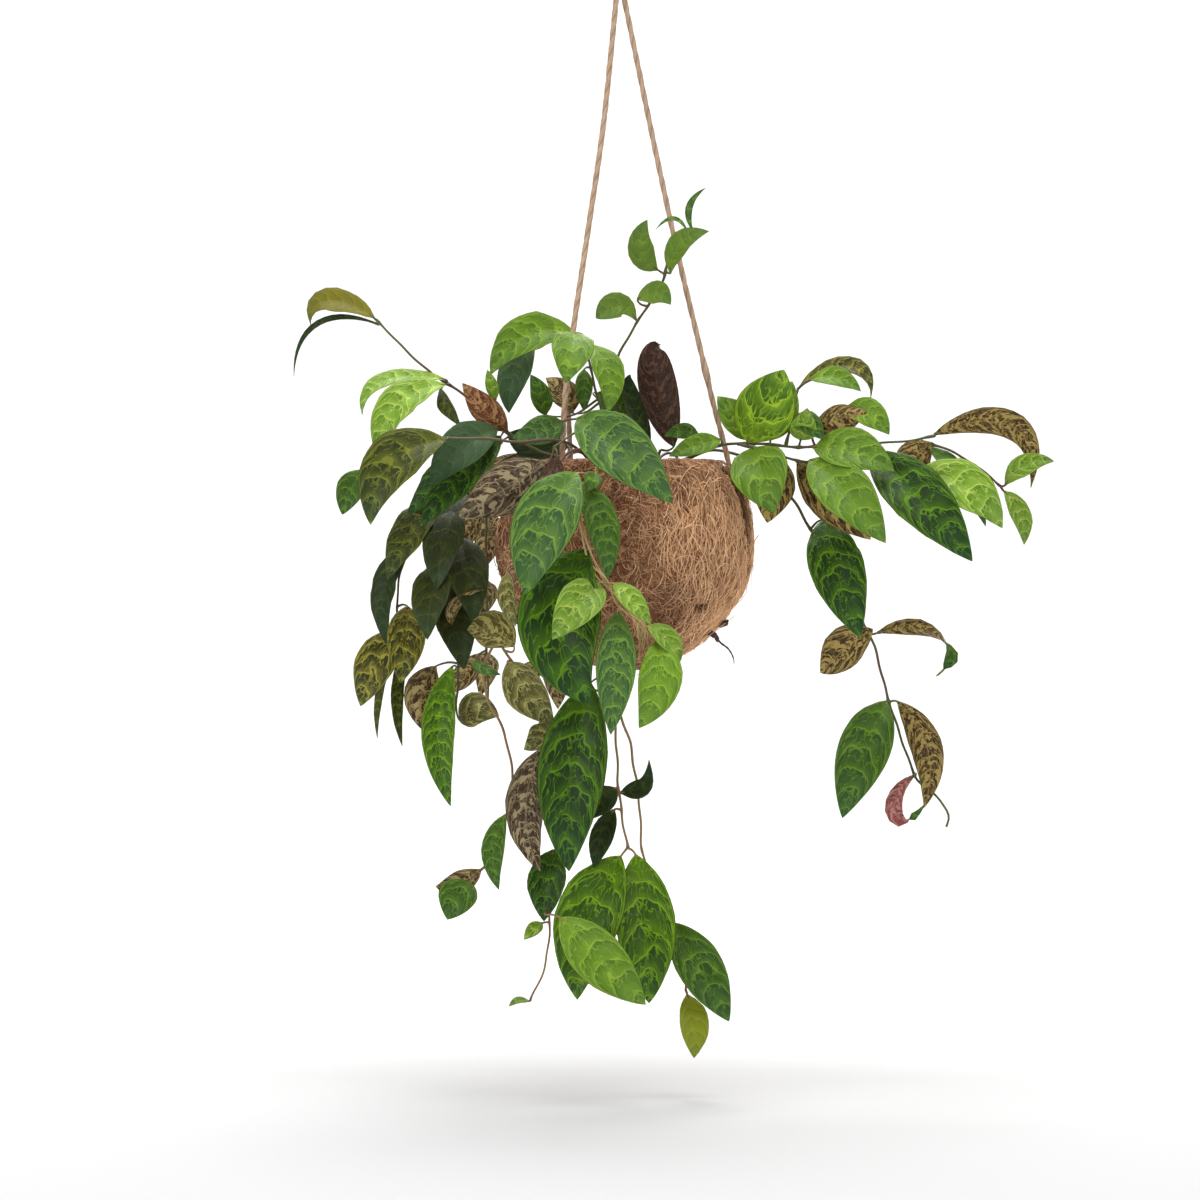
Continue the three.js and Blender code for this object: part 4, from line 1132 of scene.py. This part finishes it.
def add_rim_fibres(heap, rng):
    """Short fibres that lie across and along the flat rim."""
    inner = math.sqrt((BALL_RADIUS - WALL) ** 2 - MOUTH_HEIGHT**2)
    outer = math.sqrt(BALL_RADIUS**2 - MOUTH_HEIGHT**2)
    middle = circle(rng.uniform(0, 2 * np.pi, RIM_FIBRES))
    middle *= rng.uniform(inner, outer - 0.001, (RIM_FIBRES, 1))
    way = circle(rng.uniform(0, 2 * np.pi, RIM_FIBRES))
    t = np.linspace(-0.5, 0.5, FIBRE_STEPS)
    ahead = rng.uniform(0.006, 0.018, (RIM_FIBRES, 1)) * t
    aside = rng.normal(0, 0.0025, (RIM_FIBRES, 1)) * (4 * t**2 - 1)
    x = middle[:, :1] + way[:, :1] * ahead - way[:, 1:] * aside
    y = middle[:, 1:] + way[:, 1:] * ahead + way[:, :1] * aside
    z = MOUTH_HEIGHT + 0.0002 + 0.0009 * rng.uniform(size=(RIM_FIBRES, 1)) * np.cos(np.pi * t)
    radius, shade = rng.uniform(0.00009, 0.00018, RIM_FIBRES), rng.uniform(0.3, 1, RIM_FIBRES)
    points, faces, value = strands(np.stack([x, y, z], -1), [0, 0, 1.0], radius, shade)
    heap.add(points, faces, shade=value)


def add_soil():
    """The soil in the ball: a rough dome with crumbs on it."""
    radius, foot = BALL_RADIUS - WALL - SOIL_GAP, SOIL_TOP - SOIL_RISE
    end = math.acos(-foot / radius)
    share = np.linspace(0, 1, 24)[1:]
    height = foot + SOIL_RISE * np.sin(share * np.pi / 2)
    dome = np.stack([radius * math.sin(end) * (1 - share), height], -1)
    points, faces = lathe(np.vstack([arc(radius, 0, end, 24), dome]), 90)
    top = points[:, 2] > foot - 0.0001
    rough = two_noises(points, 130, 420, 0.5)
    points[:, 2] += top * 0.0016 * (rough - 0.4)
    heap = Heap()
    heap.add(points, faces)
    rng = np.random.default_rng(5)
    corners = np.array([[1, 0, 0], [0, 1, 0], [-1, 0, 0], [0, -1, 0], [0, 0, 1], [0, 0, -1]], float)
    sides = [[0, 1, 4], [1, 2, 4], [2, 3, 4], [3, 0, 4], [1, 0, 5], [2, 1, 5], [3, 2, 5], [0, 3, 5]]
    for _ in range(CRUMBS):
        middle = circle(rng.uniform(0, 2 * np.pi)) * CRUMB_REACH * math.sqrt(rng.uniform())
        crumb = corners * rng.uniform(0.0006, 0.0022) * rng.uniform(0.6, 1.2, (6, 3))
        crumb = crumb @ np.linalg.qr(rng.normal(size=(3, 3)))[0]
        heap.add([*middle, SOIL_TOP - CRUMB_DEPTH] + crumb, sides)
    heap.build("soil", [soil_paint()], "soil", "soil_core")


# Dried roots that come through the fibre at the lower right, each with its thickness.
ROOT_ENDS = [
    (0.0007, [(48, -10, -54), (54, -8, -56), (58, -6, -60), (62.5, -5, -63.5), (65.5, -4, -69),
              (66, -4, -73.5)]),
    (0.0024, [(54, -6, -48), (60, -4, -48.5), (62.5, -3, -46)]),
    (0.0020, [(50, -16, -53), (55, -16, -56.5), (55.5, -15, -59.5)]),
]
# Dry rootlets beside the front vine's stem.
ROOTLET_PATH = [(-27, -90, 16), (-20, -94.5, -10), (-11.5, -95.5, -24), (1, -95.5, -37),
                (9.5, -93, -48), (10, -90, -62), (9, -88, -74)]
ROOTLETS = 13
LONG_ROOTLETS = 5  # the others start further down
ROOTLET_START = 0.58
ROOTLET_SPREAD = (1.2, 4.2)  # from their start to their end


def add_rootlets():
    paint = stem_paint("rootlet", rgb(250, 228, 166), rgb(220, 190, 128))
    rng = np.random.default_rng(11)
    heap = Heap()
    fan = np.linspace(*ROOTLET_SPREAD, len(ROOTLET_PATH))[:, None]
    for k in range(ROOTLETS):
        drift = rng.normal(0, 1, (len(ROOTLET_PATH), 3)) * (1, 0.3, 1) * fan
        line = respaced(curve_through([spot(p) for p in ROOTLET_PATH + drift]), ROOT_STEP)
        first = 0 if k < LONG_ROOTLETS else ROOTLET_START
        line = line[int(len(line) * first) : int(len(line) * rng.uniform(0.85, 1))]
        thick = 0.0007 if k == 0 else rng.uniform(0.0002, 0.00045)
        add_stem(heap, line, thick * np.linspace(1, 0.5, len(line)), 6)
    heap.build("rootlets", [paint], "coir")


def add_root_ends():
    paint = stem_paint("root", rgb(70, 48, 36), rgb(44, 30, 26))
    heap = Heap()
    for thick, points in ROOT_ENDS:
        line = respaced(curve_through(np.array(points) * MM), ROOT_STEP)
        share = np.linspace(0, 1, len(line))
        radius = thick * np.interp(share, [0, 0.5, 0.85, 1], [1, 0.9, 0.6, 0.15])
        add_stem(heap, line, radius * (1 + 0.15 * np.sin(lengths(line) * 1900)), 7)
    heap.build("root_ends", [paint], "coir")


# --- the floor, the lights and the whole --------------------------------------------------------

FLOOR = -0.688
FLOOR_HALF = 6.0
FLOOR_BEND = 2.2  # how far behind the plant the floor starts to rise
BEND_RADIUS = 1.5
FLOOR_TOP = 5.0


def add_floor():
    """A pale floor that rises behind the plant in one sweep."""
    floor = Paint("floor").finish(Base_Color=rgb(216, 216, 216), Roughness=0.9)
    bend = [(-FLOOR_HALF, 0), (FLOOR_BEND, 0)]
    for angle in np.linspace(0.1, math.pi / 2, 14):
        back = FLOOR_BEND + BEND_RADIUS * math.sin(angle)
        bend.append((back, BEND_RADIUS * (1 - math.cos(angle))))
    bend.append((FLOOR_BEND + BEND_RADIUS, FLOOR_TOP))
    points = [(x, y, FLOOR + z) for y, z in bend for x in (-FLOOR_HALF, FLOOR_HALF)]
    faces = [(2 * k, 2 * k + 1, 2 * k + 3, 2 * k + 2) for k in range(len(bend) - 1)]
    mesh = bpy.data.meshes.new("floor")
    mesh.from_pydata(points, [], faces)
    mesh.polygons.foreach_set("use_smooth", [True] * len(mesh.polygons))
    mesh.materials.append(floor)
    piece = bpy.data.objects.new("floor", mesh)
    bpy.context.scene.collection.objects.link(piece)


# Each lamp's place, size, power and what it points at.
PLANT = (0, 0, -0.4)
BACKDROP = (0, 3.7, 0.2)
LAMPS = {
    "above": ((0.05, -0.1, 1.3), 1.1, 19, PLANT),
    "behind": ((0.05, 1.1, 1.2), 1.2, 28, PLANT),
    "left": ((-1.7, -1.7, 0.2), 1.4, 22, PLANT),
    "right": ((1.8, -1.5, 0.1), 1.4, 13, PLANT),
    "backdrop": ((0, 1.4, 1.5), 1.5, 75, BACKDROP),
}


def add_lamp(name, place, size, power, towards):
    lamp = bpy.data.lights.new(name, "AREA")
    lamp.shape = "DISK"
    lamp.size = size
    lamp.energy = power
    holder = bpy.data.objects.new(name, lamp)
    bpy.context.scene.collection.objects.link(holder)
    holder.location = place
    aim = Vector(towards) - Vector(place)
    holder.rotation_euler = aim.to_track_quat("-Z", "Y").to_euler()


def add_light():
    world = bpy.data.worlds.new("studio")
    world.use_nodes = True
    world.node_tree.nodes["Background"].inputs["Color"].default_value = (1, 1, 1, 1)
    world.node_tree.nodes["Background"].inputs["Strength"].default_value = 0.40
    bpy.context.scene.world = world
    bpy.context.scene.view_settings.view_transform = "Standard"
    for name, rule in LAMPS.items():
        add_lamp(name, *rule)


add_camera()
add_twine()
add_shell()
add_fibres()
add_soil()
add_root_ends()
add_rootlets()
add_vines()
add_floor()
add_light()
